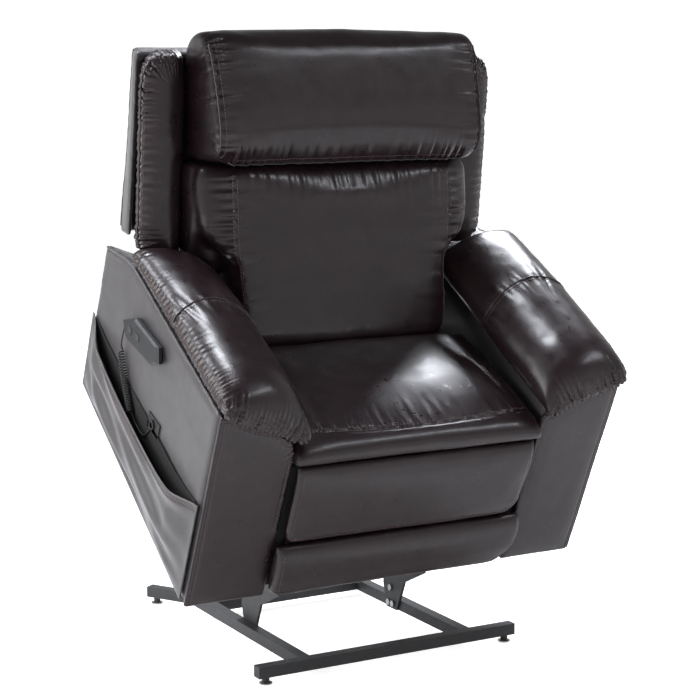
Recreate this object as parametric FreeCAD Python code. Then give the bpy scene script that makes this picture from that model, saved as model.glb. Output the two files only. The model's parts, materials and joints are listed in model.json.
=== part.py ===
import FreeCAD, Part
import math
import os

from FreeCAD import Placement, Rotation, Vector

# Lift recliner chair, millimetres, +Z up, the sitter faces -Y.
# Origin: on the floor, at the centre of the chair's outline in its lifted rest pose.
# The base is drawn where it stands.  Everything the lift carries is drawn as it sits
# when lowered, in "seat coordinates", and is then placed in the lifted pose.

# ---- driving dimensions -------------------------------------------------------------
LIFT_TILT = 23.8            # forward tilt of the seat at full lift, degrees
LIFT_SHIFT_Y = 159.6        # where the seat coordinates' origin goes at full lift
LIFT_SHIFT_Z = 285.8

# base
TUBE = 25.0                 # square tube
TUBE_WALL = 2.0
TUBE_BOTTOM = 16.0          # the glides hold the tubes this far off the floor
FRONT_TUBE_HALF = 318.0
FRONT_TUBE_Y = -235.0       # its centre line
RAIL_X = 202.0
RAIL_END_Y = 329.0
LEG_SPLAY = 31.7            # rear legs turn outward by this angle
LEG_LENGTH = 128.0
REAR_CROSS_Y = 252.0
GLIDE_STEM_R = 8.0
GLIDE_DISC_R = 14.0
GLIDE_DISC_H = 5.0

# lift linkage, one set on each side (y, z)
MAIN_PIVOT = (-68.0, 182.0)         # on the base bracket
GUIDE_PIVOT = (-62.0, 149.0)
SEAT_MAIN_PIVOT = (165.0, 104.0)    # on the seat's side plate, seat coordinates
SEAT_GUIDE_PIVOT = (163.0, 40.0)
PLATE = 6.0                         # thickness of brackets, arms and links
BRACKET_X = 183.5                   # inner face of the base bracket
MAIN_ARM_X = 172.0
GUIDE_LINK_X = 160.0
SIDE_PLATE_X = 148.0
MAIN_ARM_HALF = 14.0
GUIDE_LINK_HALF = 12.0
TORQUE_TUBE_R = 11.0
PIVOT_BOLT_R = 6.0
GUIDE_BOLT_R = 5.0
RUNNING = 0.06                      # radial clearance of a running fit
OPEN_PIVOT_CLEARANCE = 1.4          # guide link's upper pivot

# lift actuator
LIFT_X = -55.0
LIFT_CLEVIS = (285.0, 62.0)         # rear pin, behind the base's rear cross tube
LIFT_CRANK = 85.0                   # distance from the main pivot to the rod's line
LIFT_SWING = 48.7                   # the main arms' whole swing, degrees
LIFT_LINE_ANGLE = 148.04            # direction the rod points in, from +Y towards +Z
ROD_R = 8.0
ACTUATOR_TUBE_R = 16.0
ROD_PIN_R = 5.0

# recline
BACK_PIVOT = (185.0, 350.0)
RECLINE_RANGE = 38.0
RECLINE_LEVER = 98.0
RECLINE_X = 55.0
RECLINE_MOTOR_Y = -250.0

# footrest
FOOT_PIVOT = (-230.0, 284.0)
FOOT_KNEE = (-258.4, 86.1)
FOOT_BOARD_PIVOT = (-362.0, 250.0)
FOOT_TUBE_R = 7.5
FOOT_BOLT_R = 5.0
REAR_LINK_X = 225.0
FRONT_LINK_X = 233.0
BOARD_BRACKET_X = 241.0

# upholstered body
ARM_OUTER = 479.0
ARM_INNER = 308.0
ARM_FRONT_Y = -375.0
ARM_PANEL_Y = -390.0
ARM_REAR_Y = 255.0
ARM_PEAK_Y = 118.0              # where the arm's top edge is highest
PAD_OUTER = 483.0
PAD_INNER = 274.0
PAD_FRONT_Y = -412.0
PAD_REAR_Y = 125.0
SEAT_HALF = 296.0
BACK_HALF = 270.0
HEADREST_HALF_LOW = 296.0
HEADREST_HALF_HIGH = 330.0
WING_INNER = 345.0
WING_OUTER = 436.0
SHELL_HALF = 442.0
SHELL_WALL = 14.0
UPPER_PAD_HALF = 285.0
LOWER_PAD_HALF = 300.0
BOARD_HALF = 270.0


# ---- helpers ------------------------------------------------------------------------
def prism_x(points, x0, x1):
    """A (y, z) outline pushed along X from x0 to x1."""
    wire = Part.makePolygon([Vector(x0, y, z) for y, z in points + points[:1]])
    return Part.Face(wire).extrude(Vector(x1 - x0, 0, 0))


def prism_y(points, y0, y1):
    """An (x, z) outline pushed along Y from y0 to y1."""
    wire = Part.makePolygon([Vector(x, y0, z) for x, z in points + points[:1]])
    return Part.Face(wire).extrude(Vector(0, y1 - y0, 0))


def rod_x(centre, x0, x1, radius):
    """A round bar along X through the (y, z) centre."""
    return Part.makeCylinder(radius, x1 - x0, Vector(x0, centre[0], centre[1]), Vector(1, 0, 0))


def box(x0, x1, y0, y1, z0, z1):
    return Part.makeBox(x1 - x0, y1 - y0, z1 - z0, Vector(x0, y0, z0))


def join(first, *others):
    return first.fuse(list(others)).removeSplitter()


def mirrored(shape):
    return shape.mirror(Vector(0, 0, 0), Vector(1, 0, 0))


def both_sides(shapes):
    """Each shape and its mirror image across the chair's middle."""
    return shapes + [mirrored(s) for s in shapes]


def direction(angle):
    """Unit (y, z) vector at an angle from +Y towards +Z."""
    return math.cos(math.radians(angle)), math.sin(math.radians(angle))


def beyond(start, angle, distance):
    """The (y, z) point at a distance from start along an angle."""
    dy, dz = direction(angle)
    return start[0] + dy * distance, start[1] + dz * distance


def bar(a, b, half, x0, x1):
    """A flat link with round ends between two (y, z) pivots."""
    length = math.dist(a, b)
    dy, dz = (b[0] - a[0]) / length, (b[1] - a[1]) / length
    side = [(a[0] - dz * half, a[1] + dy * half), (b[0] - dz * half, b[1] + dy * half),
            (b[0] + dz * half, b[1] - dy * half), (a[0] + dz * half, a[1] - dy * half)]
    return join(prism_x(side, x0, x1), rod_x(a, x0, x1, half), rod_x(b, x0, x1, half))


def bar_along(start, angle, near, far, half, x0, x1):
    return bar(beyond(start, angle, near), beyond(start, angle, far), half, x0, x1)


def rod_along(start, angle, near, far, radius, x):
    """A round bar in the (y, z) plane, from near to far along an angle."""
    y, z = beyond(start, angle, near)
    dy, dz = direction(angle)
    return Part.makeCylinder(radius, far - near, Vector(x, y, z), Vector(0, dy, dz))


def hex_head(centre, x0, x1, across):
    """A hexagon bolt head along X."""
    radius = across / math.sqrt(3)
    corners = [beyond(centre, 60 * k, radius) for k in range(6)]
    return prism_x(corners, x0, x1)


def lofted(sections):
    """A solid through closed outlines, each a list of (x, y, z)."""
    wires = [Part.makePolygon([Vector(*p) for p in s + s[:1]]) for s in sections]
    return Part.makeLoft(wires, True, True)


def lifted(point):
    """A (y, z) point of the seat coordinates, in the lifted rest pose."""
    c, s = direction(LIFT_TILT)
    return (point[0] * c - point[1] * s + LIFT_SHIFT_Y,
            point[0] * s + point[1] * c + LIFT_SHIFT_Z)


SEAT_PLACEMENT = Placement(Vector(0, LIFT_SHIFT_Y, LIFT_SHIFT_Z),
                           Rotation(Vector(1, 0, 0), LIFT_TILT))
MAIN_TOP = lifted(SEAT_MAIN_PIVOT)
GUIDE_TOP = lifted(SEAT_GUIDE_PIVOT)


def save(name, solids):
    """Write one sub-part that is already where it stands."""
    shape = solids[0] if len(solids) == 1 else Part.makeCompound(solids)
    shape.exportStep("parts/" + name + ".step")


def save_seat(name, solids):
    """Write one sub-part drawn in seat coordinates, in the lifted pose."""
    placed = []
    for solid in solids:
        moved = solid.copy()
        moved.Placement = SEAT_PLACEMENT.multiply(moved.Placement)
        placed.append(moved)
    save(name, placed)


# ---- base ---------------------------------------------------------------------------
def square_tube_y(x, y0, y1):
    """Hollow square tube along Y, centred on x."""
    half, inner, top = TUBE / 2, TUBE / 2 - TUBE_WALL, TUBE_BOTTOM + TUBE
    outer = box(x - half, x + half, y0, y1, TUBE_BOTTOM, top)
    return outer.cut(box(x - inner, x + inner, y0 - 1, y1 + 1,
                         TUBE_BOTTOM + TUBE_WALL, top - TUBE_WALL))


def square_tube_x(x0, x1, y):
    """Hollow square tube along X, centred on y."""
    half, inner, top = TUBE / 2, TUBE / 2 - TUBE_WALL, TUBE_BOTTOM + TUBE
    outer = box(x0, x1, y - half, y + half, TUBE_BOTTOM, top)
    return outer.cut(box(x0 - 1, x1 + 1, y - inner, y + inner,
                         TUBE_BOTTOM + TUBE_WALL, top - TUBE_WALL))


def splay(shape, side):
    """Turn something drawn along Y at the rail's end outward by the splay angle."""
    turned = shape.copy()
    turned.rotate(Vector(side * RAIL_X, RAIL_END_Y, 0), Vector(0, 0, 1), -side * LEG_SPLAY)
    return turned


def rear_leg(side):
    leg = splay(square_tube_y(side * RAIL_X, RAIL_END_Y - TUBE, RAIL_END_Y + LEG_LENGTH), side)
    x = side * RAIL_X
    return leg.cut(box(x - 60, x + 60, RAIL_END_Y - 80, RAIL_END_Y, 0, 60))


def cap_y(x, y, sign):
    """Plastic end cap with its plug, for a tube along Y that ends at y."""
    half, plug, top = TUBE / 2, TUBE / 2 - TUBE_WALL, TUBE_BOTTOM + TUBE
    ends = sorted((y, y + sign * 3))
    plug_ends = sorted((y, y - sign * 12))
    return join(box(x - half, x + half, ends[0], ends[1], TUBE_BOTTOM, top),
                box(x - plug, x + plug, plug_ends[0], plug_ends[1],
                    TUBE_BOTTOM + TUBE_WALL, top - TUBE_WALL))


def front_cap(side):
    half, plug, top = TUBE / 2, TUBE / 2 - TUBE_WALL, TUBE_BOTTOM + TUBE
    end = side * FRONT_TUBE_HALF
    outer = sorted((end, end + side * 3))
    inner = sorted((end, end - side * 12))
    y = FRONT_TUBE_Y
    return join(box(outer[0], outer[1], y - half, y + half, TUBE_BOTTOM, top),
                box(inner[0], inner[1], y - plug, y + plug,
                    TUBE_BOTTOM + TUBE_WALL, top - TUBE_WALL))


def glide_places():
    """(x, y) of the four glides."""
    near_end = LEG_LENGTH - 18
    x = RAIL_X + near_end * math.sin(math.radians(LEG_SPLAY))
    y = RAIL_END_Y + near_end * math.cos(math.radians(LEG_SPLAY))
    front_x = FRONT_TUBE_HALF - 18
    return [(front_x, FRONT_TUBE_Y), (-front_x, FRONT_TUBE_Y), (x, y), (-x, y)]


def make_base():
    rail_inner = RAIL_X - TUBE / 2
    rail_start = FRONT_TUBE_Y + TUBE / 2
    save("base_front_tube", [square_tube_x(-FRONT_TUBE_HALF, FRONT_TUBE_HALF, FRONT_TUBE_Y)])
    save("base_side_rails", [square_tube_y(s * RAIL_X, rail_start, RAIL_END_Y) for s in (1, -1)])
    save("base_rear_legs", [rear_leg(1), rear_leg(-1)])
    save("base_rear_cross_tube", [square_tube_x(-rail_inner, rail_inner, REAR_CROSS_Y)])
    leg_end = RAIL_END_Y + LEG_LENGTH
    save("tube_end_caps", [front_cap(1), front_cap(-1)]
         + [splay(cap_y(s * RAIL_X, leg_end, 1), s) for s in (1, -1)])
    stems, discs = [], []
    for x, y in glide_places():
        stems.append(Part.makeCylinder(GLIDE_STEM_R, TUBE_BOTTOM - GLIDE_DISC_H,
                                       Vector(x, y, GLIDE_DISC_H)))
        rim = Part.makeCone(GLIDE_DISC_R - 2, GLIDE_DISC_R, 1.5, Vector(x, y, 0))
        plate = Part.makeCylinder(GLIDE_DISC_R, GLIDE_DISC_H - 3, Vector(x, y, 1.5))
        crown = Part.makeCone(GLIDE_DISC_R, GLIDE_STEM_R + 1, 1.5, Vector(x, y, GLIDE_DISC_H - 1.5))
        discs.append(join(rim, plate, crown))
    save("glide_stems", stems)
    save("glide_discs", discs)


def lift_bracket():
    """Three-cornered plate welded to the rail: foot on the rail, both pivots at the top."""
    outline = [(42, TUBE_BOTTOM), (88, TUBE_BOTTOM), (104, 72), (98, 96), (6, 170),
               (-50, 200), (-72, 206), (-90, 192), (-88, 160), (-78, 134), (8, 92)]
    plate = prism_x(outline, BRACKET_X, BRACKET_X + PLATE)
    holes = join(rod_x(MAIN_PIVOT, BRACKET_X - 1, BRACKET_X + PLATE + 1, PIVOT_BOLT_R),
                 rod_x(GUIDE_PIVOT, BRACKET_X - 1, BRACKET_X + PLATE + 1, GUIDE_BOLT_R))
    return plate.cut(holes)


def make_lift_brackets():
    save("lift_brackets", both_sides([lift_bracket()]))
    outer = BRACKET_X + PLATE
    arm_outer = MAIN_ARM_X + PLATE
    link_outer = GUIDE_LINK_X + PLATE
    main_bolt = join(rod_x(MAIN_PIVOT, MAIN_ARM_X - 12, outer, PIVOT_BOLT_R),
                     rod_x(MAIN_PIVOT, arm_outer + 0.2, BRACKET_X, 10),
                     hex_head(MAIN_PIVOT, outer, outer + 6, 18))
    guide_bolt = join(rod_x(GUIDE_PIVOT, GUIDE_LINK_X - 5, outer, GUIDE_BOLT_R),
                      rod_x(GUIDE_PIVOT, link_outer + 0.2, BRACKET_X, 8),
                      rod_x(GUIDE_PIVOT, GUIDE_LINK_X - 5, GUIDE_LINK_X - 0.2, 8),
                      hex_head(GUIDE_PIVOT, outer, outer + 6, 16))
    gusset_bolts = [hex_head(p, BRACKET_X - 4.5, BRACKET_X, 14) for p in ((68, 66), (57, 29), (76, 29))]
    save("base_pivot_bolts", both_sides([main_bolt, guide_bolt] + gusset_bolts))


# ---- lift arms and guide links ------------------------------------------------------
def rest_crank_angle():
    return LIFT_LINE_ANGLE - 90 + LIFT_SWING / 2


def make_lift_arms():
    half_gap = LIFT_SWING / 2
    reach = LIFT_CRANK / math.cos(math.radians(half_gap))
    arm = bar(MAIN_PIVOT, MAIN_TOP, MAIN_ARM_HALF, MAIN_ARM_X, MAIN_ARM_X + PLATE)
    for centre in (MAIN_PIVOT, MAIN_TOP):
        arm = arm.cut(rod_x(centre, MAIN_ARM_X - 1, MAIN_ARM_X + PLATE + 1, PIVOT_BOLT_R + RUNNING))
    save("lift_arms", both_sides([arm]))
    tube = rod_x(MAIN_PIVOT, -MAIN_ARM_X, MAIN_ARM_X, TORQUE_TUBE_R)
    bore = rod_x(MAIN_PIVOT, -MAIN_ARM_X - 1, MAIN_ARM_X + 1, TORQUE_TUBE_R - 3)
    save("lift_torque_tube", [tube.cut(bore)])
    angle = rest_crank_angle()
    cranks = []
    for x0 in (LIFT_X - 19, LIFT_X + 14):
        plate = join(bar_along(MAIN_PIVOT, angle, 0, reach, 16, x0, x0 + 5),
                     rod_x(MAIN_PIVOT, x0, x0 + 5, 18))
        slot = bar_along(MAIN_PIVOT, angle, LIFT_CRANK - 2, reach + 2, ROD_PIN_R + 2.2, x0 - 1, x0 + 6)
        hole = rod_x(MAIN_PIVOT, x0 - 1, x0 + 6, TORQUE_TUBE_R)
        cranks.append(plate.cut(slot).cut(hole))
    save("lift_crank", cranks)


def make_guide_links():
    x0, x1 = GUIDE_LINK_X, GUIDE_LINK_X + PLATE
    link = bar(GUIDE_PIVOT, GUIDE_TOP, GUIDE_LINK_HALF, x0, x1)
    link = link.cut(rod_x(GUIDE_PIVOT, x0 - 1, x1 + 1, GUIDE_BOLT_R + RUNNING))
    link = link.cut(rod_x(GUIDE_TOP, x0 - 1, x1 + 1, GUIDE_BOLT_R + OPEN_PIVOT_CLEARANCE))
    save("guide_links", both_sides([link]))


# ---- lift actuator ------------------------------------------------------------------
def make_lift_actuator():
    angle, start, x = LIFT_LINE_ANGLE, LIFT_CLEVIS, LIFT_X
    half_swing = math.radians(LIFT_SWING / 2)
    foot = beyond(MAIN_PIVOT, angle - 90, LIFT_CRANK)
    tip = math.dist(foot, start) + LIFT_CRANK * math.tan(half_swing)
    clevis_plate = [(241, TUBE_BOTTOM + TUBE), (263, TUBE_BOTTOM + TUBE), (298, 54), (298, 70),
                    (285, 76), (272, 70), (241, 50)]
    ears = [prism_x(clevis_plate, x + dx, x + dx + 6) for dx in (-20, 14)]
    hole = rod_x(start, x - 22, x + 22, 5)
    pin = join(rod_x(start, x - 23, x + 23, 5), rod_x(start, x - 24, x - 20, 8),
               rod_x(start, x + 20, x + 24, 8))
    save("actuator_base_clevis", [ear.cut(hole) for ear in ears] + [pin])

    eye = rod_x(start, x - 12, x + 12, 12)
    neck = rod_along(start, angle, 6, 42, 11, x)
    gearbox = rod_along(start, angle, 40, 104, 25, x)
    motor_start = beyond(start, angle - 90, 44)
    motor = rod_along(motor_start, angle, 42, 140, 21, x)
    bridge = rod_along(beyond(start, angle, 72), angle - 90, 0, 44, 17, x)
    housing = join(eye, neck, gearbox, motor, bridge)
    bore = rod_along(start, angle, 90, 110, ACTUATOR_TUBE_R - 3, x)
    save("lift_motor_housing", [housing.cut(rod_x(start, x - 13, x + 13, 5)).cut(bore)])

    tube = rod_along(start, angle, 104, 296, ACTUATOR_TUBE_R, x)
    collar = rod_along(start, angle, 284, 300, ACTUATOR_TUBE_R + 3, x)
    inner = rod_along(start, angle, 90, 310, ROD_R + RUNNING, x)
    save("lift_actuator_tube", [join(tube, collar).cut(inner)])

    shaft = rod_along(start, angle, tip - 200, tip - 8, ROD_R, x)
    end_eye = rod_x(beyond(start, angle, tip), x - 13, x + 13, 12)
    pin_hole = rod_x(beyond(start, angle, tip), x - 14, x + 14, ROD_PIN_R)
    save("lift_actuator_rod", [join(shaft, end_eye).cut(pin_hole)])
    centre = beyond(start, angle, tip)
    save("lift_rod_pin", [join(rod_x(centre, x - 23, x + 23, ROD_PIN_R),
                               rod_x(centre, x - 25, x - 21, 8.5), rod_x(centre, x + 21, x + 25, 8.5))])


# ---- seat carriage ------------------------------------------------------------------
MID_CROSS = (-60.0, 213.0)
REAR_CROSS = (100.0, 215.0)
FRONT_CROSS = (-292.0, 262.0)
CROSS_R = 12.5
OUTER_PLATE_X = 216.0
OUTER_PLATE = 5.0


def side_plate():
    """Inner plate: carries both lift pivots low down at its rear."""
    outline = [(146, 24), (180, 24), (186, 60), (188, 108), (150, 236), (60, 240), (-80, 238),
               (-80, 192), (40, 186), (120, 130)]
    plate = prism_x(outline, SIDE_PLATE_X, SIDE_PLATE_X + PLATE)
    x0, x1 = SIDE_PLATE_X - 1, SIDE_PLATE_X + PLATE + 1
    for centre, radius in ((SEAT_MAIN_PIVOT, PIVOT_BOLT_R), (SEAT_GUIDE_PIVOT, GUIDE_BOLT_R),
                           (MID_CROSS, CROSS_R), (REAR_CROSS, CROSS_R)):
        plate = plate.cut(rod_x(centre, x0, x1, radius))
    return plate


def recliner_plate():
    """Outer plate: carries the footrest tube in front and the back's hinge tube behind."""
    outline = [(-312, 246), (-270, 240), (-200, 262), (-90, 268), (-90, 196), (130, 196),
               (130, 262), (200, 330), (206, 352), (196, 370), (174, 370), (166, 352), (164, 299),
               (-180, 299), (-205, 299), (-312, 296)]
    x0, x1 = OUTER_PLATE_X, OUTER_PLATE_X + OUTER_PLATE
    plate = prism_x(outline, x0, x1)
    plate = plate.cut(rod_x(FOOT_PIVOT, x0 - 1, x1 + 1, FOOT_TUBE_R + RUNNING))
    return plate.cut(rod_x(BACK_PIVOT, x0 - 1, x1 + 1, 12 + RUNNING))


def make_carriage():
    save_seat("carriage_side_plates", both_sides([side_plate()]))
    save_seat("recliner_side_plates", both_sides([recliner_plate()]))
    tubes = []
    for centre in (MID_CROSS, REAR_CROSS, FRONT_CROSS):
        outer = rod_x(centre, -OUTER_PLATE_X, OUTER_PLATE_X, CROSS_R)
        tubes.append(outer.cut(rod_x(centre, -OUTER_PLATE_X - 1, OUTER_PLATE_X + 1, CROSS_R - 2)))
    save_seat("carriage_cross_tubes", tubes)

    x0, x1 = SIDE_PLATE_X, SIDE_PLATE_X + PLATE
    main_bolt = join(rod_x(SEAT_MAIN_PIVOT, x0, MAIN_ARM_X + PLATE + 1, PIVOT_BOLT_R),
                     rod_x(SEAT_MAIN_PIVOT, x1, MAIN_ARM_X - 0.2, 10),
                     hex_head(SEAT_MAIN_PIVOT, x0 - 6, x0, 18),
                     rod_x(SEAT_MAIN_PIVOT, MAIN_ARM_X + PLATE + 0.2, MAIN_ARM_X + PLATE + 4, 9))
    guide_bolt = join(rod_x(SEAT_GUIDE_PIVOT, x0, GUIDE_LINK_X + PLATE + 1, GUIDE_BOLT_R),
                      rod_x(SEAT_GUIDE_PIVOT, x1, GUIDE_LINK_X - 0.2, 8.5),
                      hex_head(SEAT_GUIDE_PIVOT, x0 - 6, x0, 16),
                      rod_x(SEAT_GUIDE_PIVOT, GUIDE_LINK_X + PLATE + 0.2, GUIDE_LINK_X + PLATE + 4.5, 8.5))
    save_seat("carriage_pivot_bolts", both_sides([main_bolt, guide_bolt]))


def make_seat_box():
    rear_y, front_y = 128.0, -375.0
    side_rail = box(186, 215.5, front_y + 25, rear_y, 300, 345)
    front_rail = box(-ARM_INNER, ARM_INNER, front_y, front_y + 25, 318, 345)
    rear_rail = box(-ARM_INNER, ARM_INNER, rear_y, rear_y + 22, 300, 345)
    corner = box(226, 305, rear_y - 40, rear_y, 310, 345)
    save_seat("seat_box_frame", [join(front_rail, rear_rail, side_rail, mirrored(side_rail),
                                      corner, mirrored(corner))])
    save_seat("seat_springs", [seat_spring(x) for x in (-140, -70, 0, 70, 140)])


def seat_spring(x):
    """One sinuous spring, a flat zigzag wire from the front rail to the rear rail."""
    front, rear, waves, swing = -349.0, 127.0, 16, 20.0
    step = (rear - front) / waves
    z = 334.0
    shape = Part.makeCylinder(1.8, swing / 2, Vector(x, front + step / 2, z), Vector(1, 0, 0))
    pieces = []
    sign = 1
    for k in range(waves):
        y0 = front + step * (k + 0.5)
        pieces.append(Part.makeCylinder(1.8, 2 * swing, Vector(x - swing, y0, z), Vector(1, 0, 0)))
        if k < waves - 1:
            pieces.append(Part.makeCylinder(1.8, step, Vector(x + sign * swing, y0, z), Vector(0, 1, 0)))
        pieces.append(Part.makeSphere(1.8, Vector(x - sign * swing, y0, z)))
        pieces.append(Part.makeSphere(1.8, Vector(x + sign * swing, y0, z)))
        sign = -sign
    pieces.append(Part.makeCylinder(1.8, step / 2, Vector(x - swing, front, z), Vector(0, 1, 0)))
    pieces.append(Part.makeCylinder(1.8, step / 2, Vector(x + sign * swing, rear - step / 2, z),
                                    Vector(0, 1, 0)))
    return shape.fuse(pieces)


def make_seat_cushion():
    side = [(-385, 398), (-405, 402), (-410, 425), (-392, 446), (-300, 466), (-200, 474),
            (-52, 476), (-54, 350), (-345, 350), (-372, 396)]
    cross = [(-SEAT_HALF, 340), (SEAT_HALF, 340), (SEAT_HALF, 438), (262, 462), (150, 474),
             (0, 478), (-150, 474), (-262, 462), (-SEAT_HALF, 438)]
    save_seat("seat_cushion", [prism_x(side, -SEAT_HALF, SEAT_HALF).common(prism_y(cross, -450, 20))])


# ---- arms ---------------------------------------------------------------------------
def arm_top(y):
    """Height of the arm box's outer top edge along the chair: rises, then drops at the rear."""
    if y <= ARM_PEAK_Y:
        return 530 + 0.125 * (y + 390)
    return arm_top(ARM_PEAK_Y) - 0.24 * (y - ARM_PEAK_Y)


def arm_section(y, bottom):
    top = arm_top(y)
    points = [(ARM_OUTER, bottom), (ARM_OUTER, top), (345, top - 52), (320, top - 74),
              (ARM_INNER, top - 106), (ARM_INNER, bottom)]
    return [(x, y, z) for x, z in points]


def arm_bottom(y):
    """The lower edge climbs towards the rear."""
    return 62 + 0.213 * (y - ARM_PANEL_Y)


def arm_box():
    """Arm core and its covered outer side, right-hand (+X) side."""
    stations = (ARM_FRONT_Y, ARM_PEAK_Y, ARM_REAR_Y)
    core = lofted([arm_section(y, arm_bottom(y)) for y in stations])
    chop = prism_x([(220, 150), (300, 150), (300, 240), (256, 226)], ARM_INNER - 1, ARM_OUTER + 1)
    return core.cut(chop)


def arm_front_panel():
    outline = [(x, z) for x, _, z in arm_section(ARM_PANEL_Y, arm_bottom(ARM_PANEL_Y))]
    return prism_y(outline, ARM_PANEL_Y, ARM_FRONT_Y)


def pad_section(y, shrink):
    """Pillow-shaped outline lying over the arm's sloping top with a 3 mm gap."""
    top = arm_top(y) + 3
    points = [(PAD_OUTER, top), (PAD_OUTER, top + 18), (468, top + 48 - shrink),
              (430, top + 64 - shrink), (380, top + 56 - shrink), (322, top + 26 - shrink),
              (284, top - 16), (PAD_INNER, top - 48), (284, top - 66), (306, top - 66),
              (318, top - 70), (345, top - 50)]
    return [(x, y, z) for x, z in points]


def arm_pad():
    return lofted([pad_section(PAD_FRONT_Y, 22), pad_section(-385, 4), pad_section(-120, 0),
                   pad_section(ARM_PEAK_Y - 30, 0), pad_section(ARM_PEAK_Y, 8),
                   pad_section(PAD_REAR_Y, 16)])


def make_arms():
    for name, shape in (("arm_box", arm_box()), ("arm_front_panel", arm_front_panel()),
                        ("arm_pad", arm_pad())):
        save_seat("left_" + name, [shape])
        save_seat("right_" + name, [mirrored(shape)])


def side_pocket():
    """Open-topped leather pouch on the sitter's right side, sagging outward."""
    outline = [(-372, 68), (-200, 104), (100, 168), (218, 192), (250, 226), (250, 394), (137, 346),
               (-35, 307), (-200, 288), (-372, 306)]
    inner = [(-364, 76), (-200, 112), (98, 176), (214, 200), (243, 230), (243, 420), (137, 370),
             (-35, 330), (-200, 310), (-364, 330)]
    face = -ARM_OUTER
    outer = prism_x(outline, face - 20, face)
    return outer.cut(prism_x(inner, face - 17, face + 1))


# ---- hand control -------------------------------------------------------------------
CONTROL_CORNERS = [(74, 476), (17, 514), (-109, 518), (-122, 486), (-94, 466), (49, 450)]
CONTROL_FACE = -ARM_OUTER - 20.0
HOLSTER_X = -ARM_OUTER - 4.0


def toward_middle(points, share):
    """The same outline drawn in towards its middle by a share of its size."""
    cy = sum(p[0] for p in points) / len(points)
    cz = sum(p[1] for p in points) / len(points)
    return [(y + (cy - y) * share, z + (cz - z) * share) for y, z in points]


def at_x(points, x):
    return [(x, y, z) for y, z in points]


def make_hand_control():
    back_x = HOLSTER_X - 0.5
    case = lofted([at_x(toward_middle(CONTROL_CORNERS, 0.05), back_x),
                   at_x(CONTROL_CORNERS, back_x - 4),
                   at_x(CONTROL_CORNERS, CONTROL_FACE + 5),
                   at_x(toward_middle(CONTROL_CORNERS, 0.12), CONTROL_FACE)])
    buttons = {"lift_button": (26, 480), "recline_button": (-14, 486)}
    for name, (y, z) in buttons.items():
        well = box(CONTROL_FACE - 1, CONTROL_FACE + 4, y - 9.2, y + 9.2, z - 7.2, z + 7.2)
        case = case.cut(well)
    save_seat("hand_control_case", [case])
    for name, (y, z) in buttons.items():
        cap = box(CONTROL_FACE - 1, CONTROL_FACE + 2.5, y - 9, y + 9, z - 7, z + 7)
        save_seat(name, [cap])
    plate = prism_x(toward_middle(CONTROL_CORNERS, 0.16), HOLSTER_X, -ARM_OUTER)
    save_seat("hand_control_holster", [plate])


def coil_cord():
    """Coiled cord from below the hand control, down behind the pocket's edge."""
    top, bottom = Vector(-ARM_OUTER - 9, 72, 400), Vector(-ARM_OUTER - 9, -14, 318)
    axis = bottom - top
    wire_r, coil_r, pitch = 1.7, 5.2, 4.6
    helix = Part.makeHelix(pitch, axis.Length, coil_r)
    circle = Part.makeCircle(wire_r, Vector(coil_r, 0, 0), Vector(0, 1, 0))
    coil = Part.Wire(helix).makePipeShell([Part.Wire(circle)], True, True)
    coil.Placement = Placement(top, Rotation(Vector(0, 0, 1), axis))
    lead = Part.makeCylinder(2.0, 44, Vector(-ARM_OUTER - 9, 72, 403), Vector(0, 0.05, 1))
    return [coil, lead]


def cord_hook():
    """Small black bracket with an eye that keeps the cord's lower end."""
    plate = box(-ARM_OUTER - 3, -ARM_OUTER, -150, -92, 318, 352)
    eye = Part.makeTorus(9, 2.2, Vector(-ARM_OUTER - 6, -118, 334), Vector(1, 0, 0))
    stem = Part.makeCylinder(2.2, 6, Vector(-ARM_OUTER - 6, -118, 343), Vector(1, 0, 0))
    return join(plate, stem, eye)


def make_side_items():
    save_seat("side_pocket", [side_pocket()])
    save_seat("coil_cord", coil_cord())
    save_seat("cord_hook", [cord_hook()])
    make_hand_control()


# ---- back ---------------------------------------------------------------------------
def lean_line(z):
    """Middle of the back frame's uprights at a height."""
    return 205 + 0.281 * (z - 420)


def make_back_frame():
    upright = prism_x([(lean_line(400) - 18, 400), (lean_line(400) + 18, 400),
                       (lean_line(880) + 16, 880), (lean_line(880) - 16, 880)], 231, 257)
    rails = []
    for z, half in ((470, 225), (660, 231), (850, 231)):
        y = lean_line(z)
        rails.append(box(-half, half, y - 9, y + 9, z - 20, z + 20))
    save_seat("back_frame", [join(rails[0], rails[1], rails[2], upright, mirrored(upright))])

    lever = join(bar(BACK_PIVOT, (lean_line(520), 520), 17, 225, 231),
                 rod_x(BACK_PIVOT, 225, 231, 20)).cut(rod_x(BACK_PIVOT, 224, 232, 12))
    save_seat("back_hinge_levers", both_sides([lever]))
    tube = rod_x(BACK_PIVOT, -233, 233, 12).cut(rod_x(BACK_PIVOT, -240, 240, 9.5))
    save_seat("back_hinge_tube", [tube])
    reach = RECLINE_LEVER / math.cos(math.radians(RECLINE_RANGE / 2))
    angle = -90 + RECLINE_RANGE / 2
    levers = []
    for x0 in (RECLINE_X - 19, RECLINE_X + 14):
        plate = bar_along(BACK_PIVOT, angle, 0, reach, 15, x0, x0 + 5)
        plate = join(plate, rod_x(BACK_PIVOT, x0, x0 + 5, 18))
        slot = bar_along(BACK_PIVOT, angle, RECLINE_LEVER - 2, reach + 2, ROD_PIN_R + 2, x0 - 1, x0 + 6)
        levers.append(plate.cut(slot).cut(rod_x(BACK_PIVOT, x0 - 1, x0 + 6, 12)))
    save_seat("recline_levers", levers)


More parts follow.
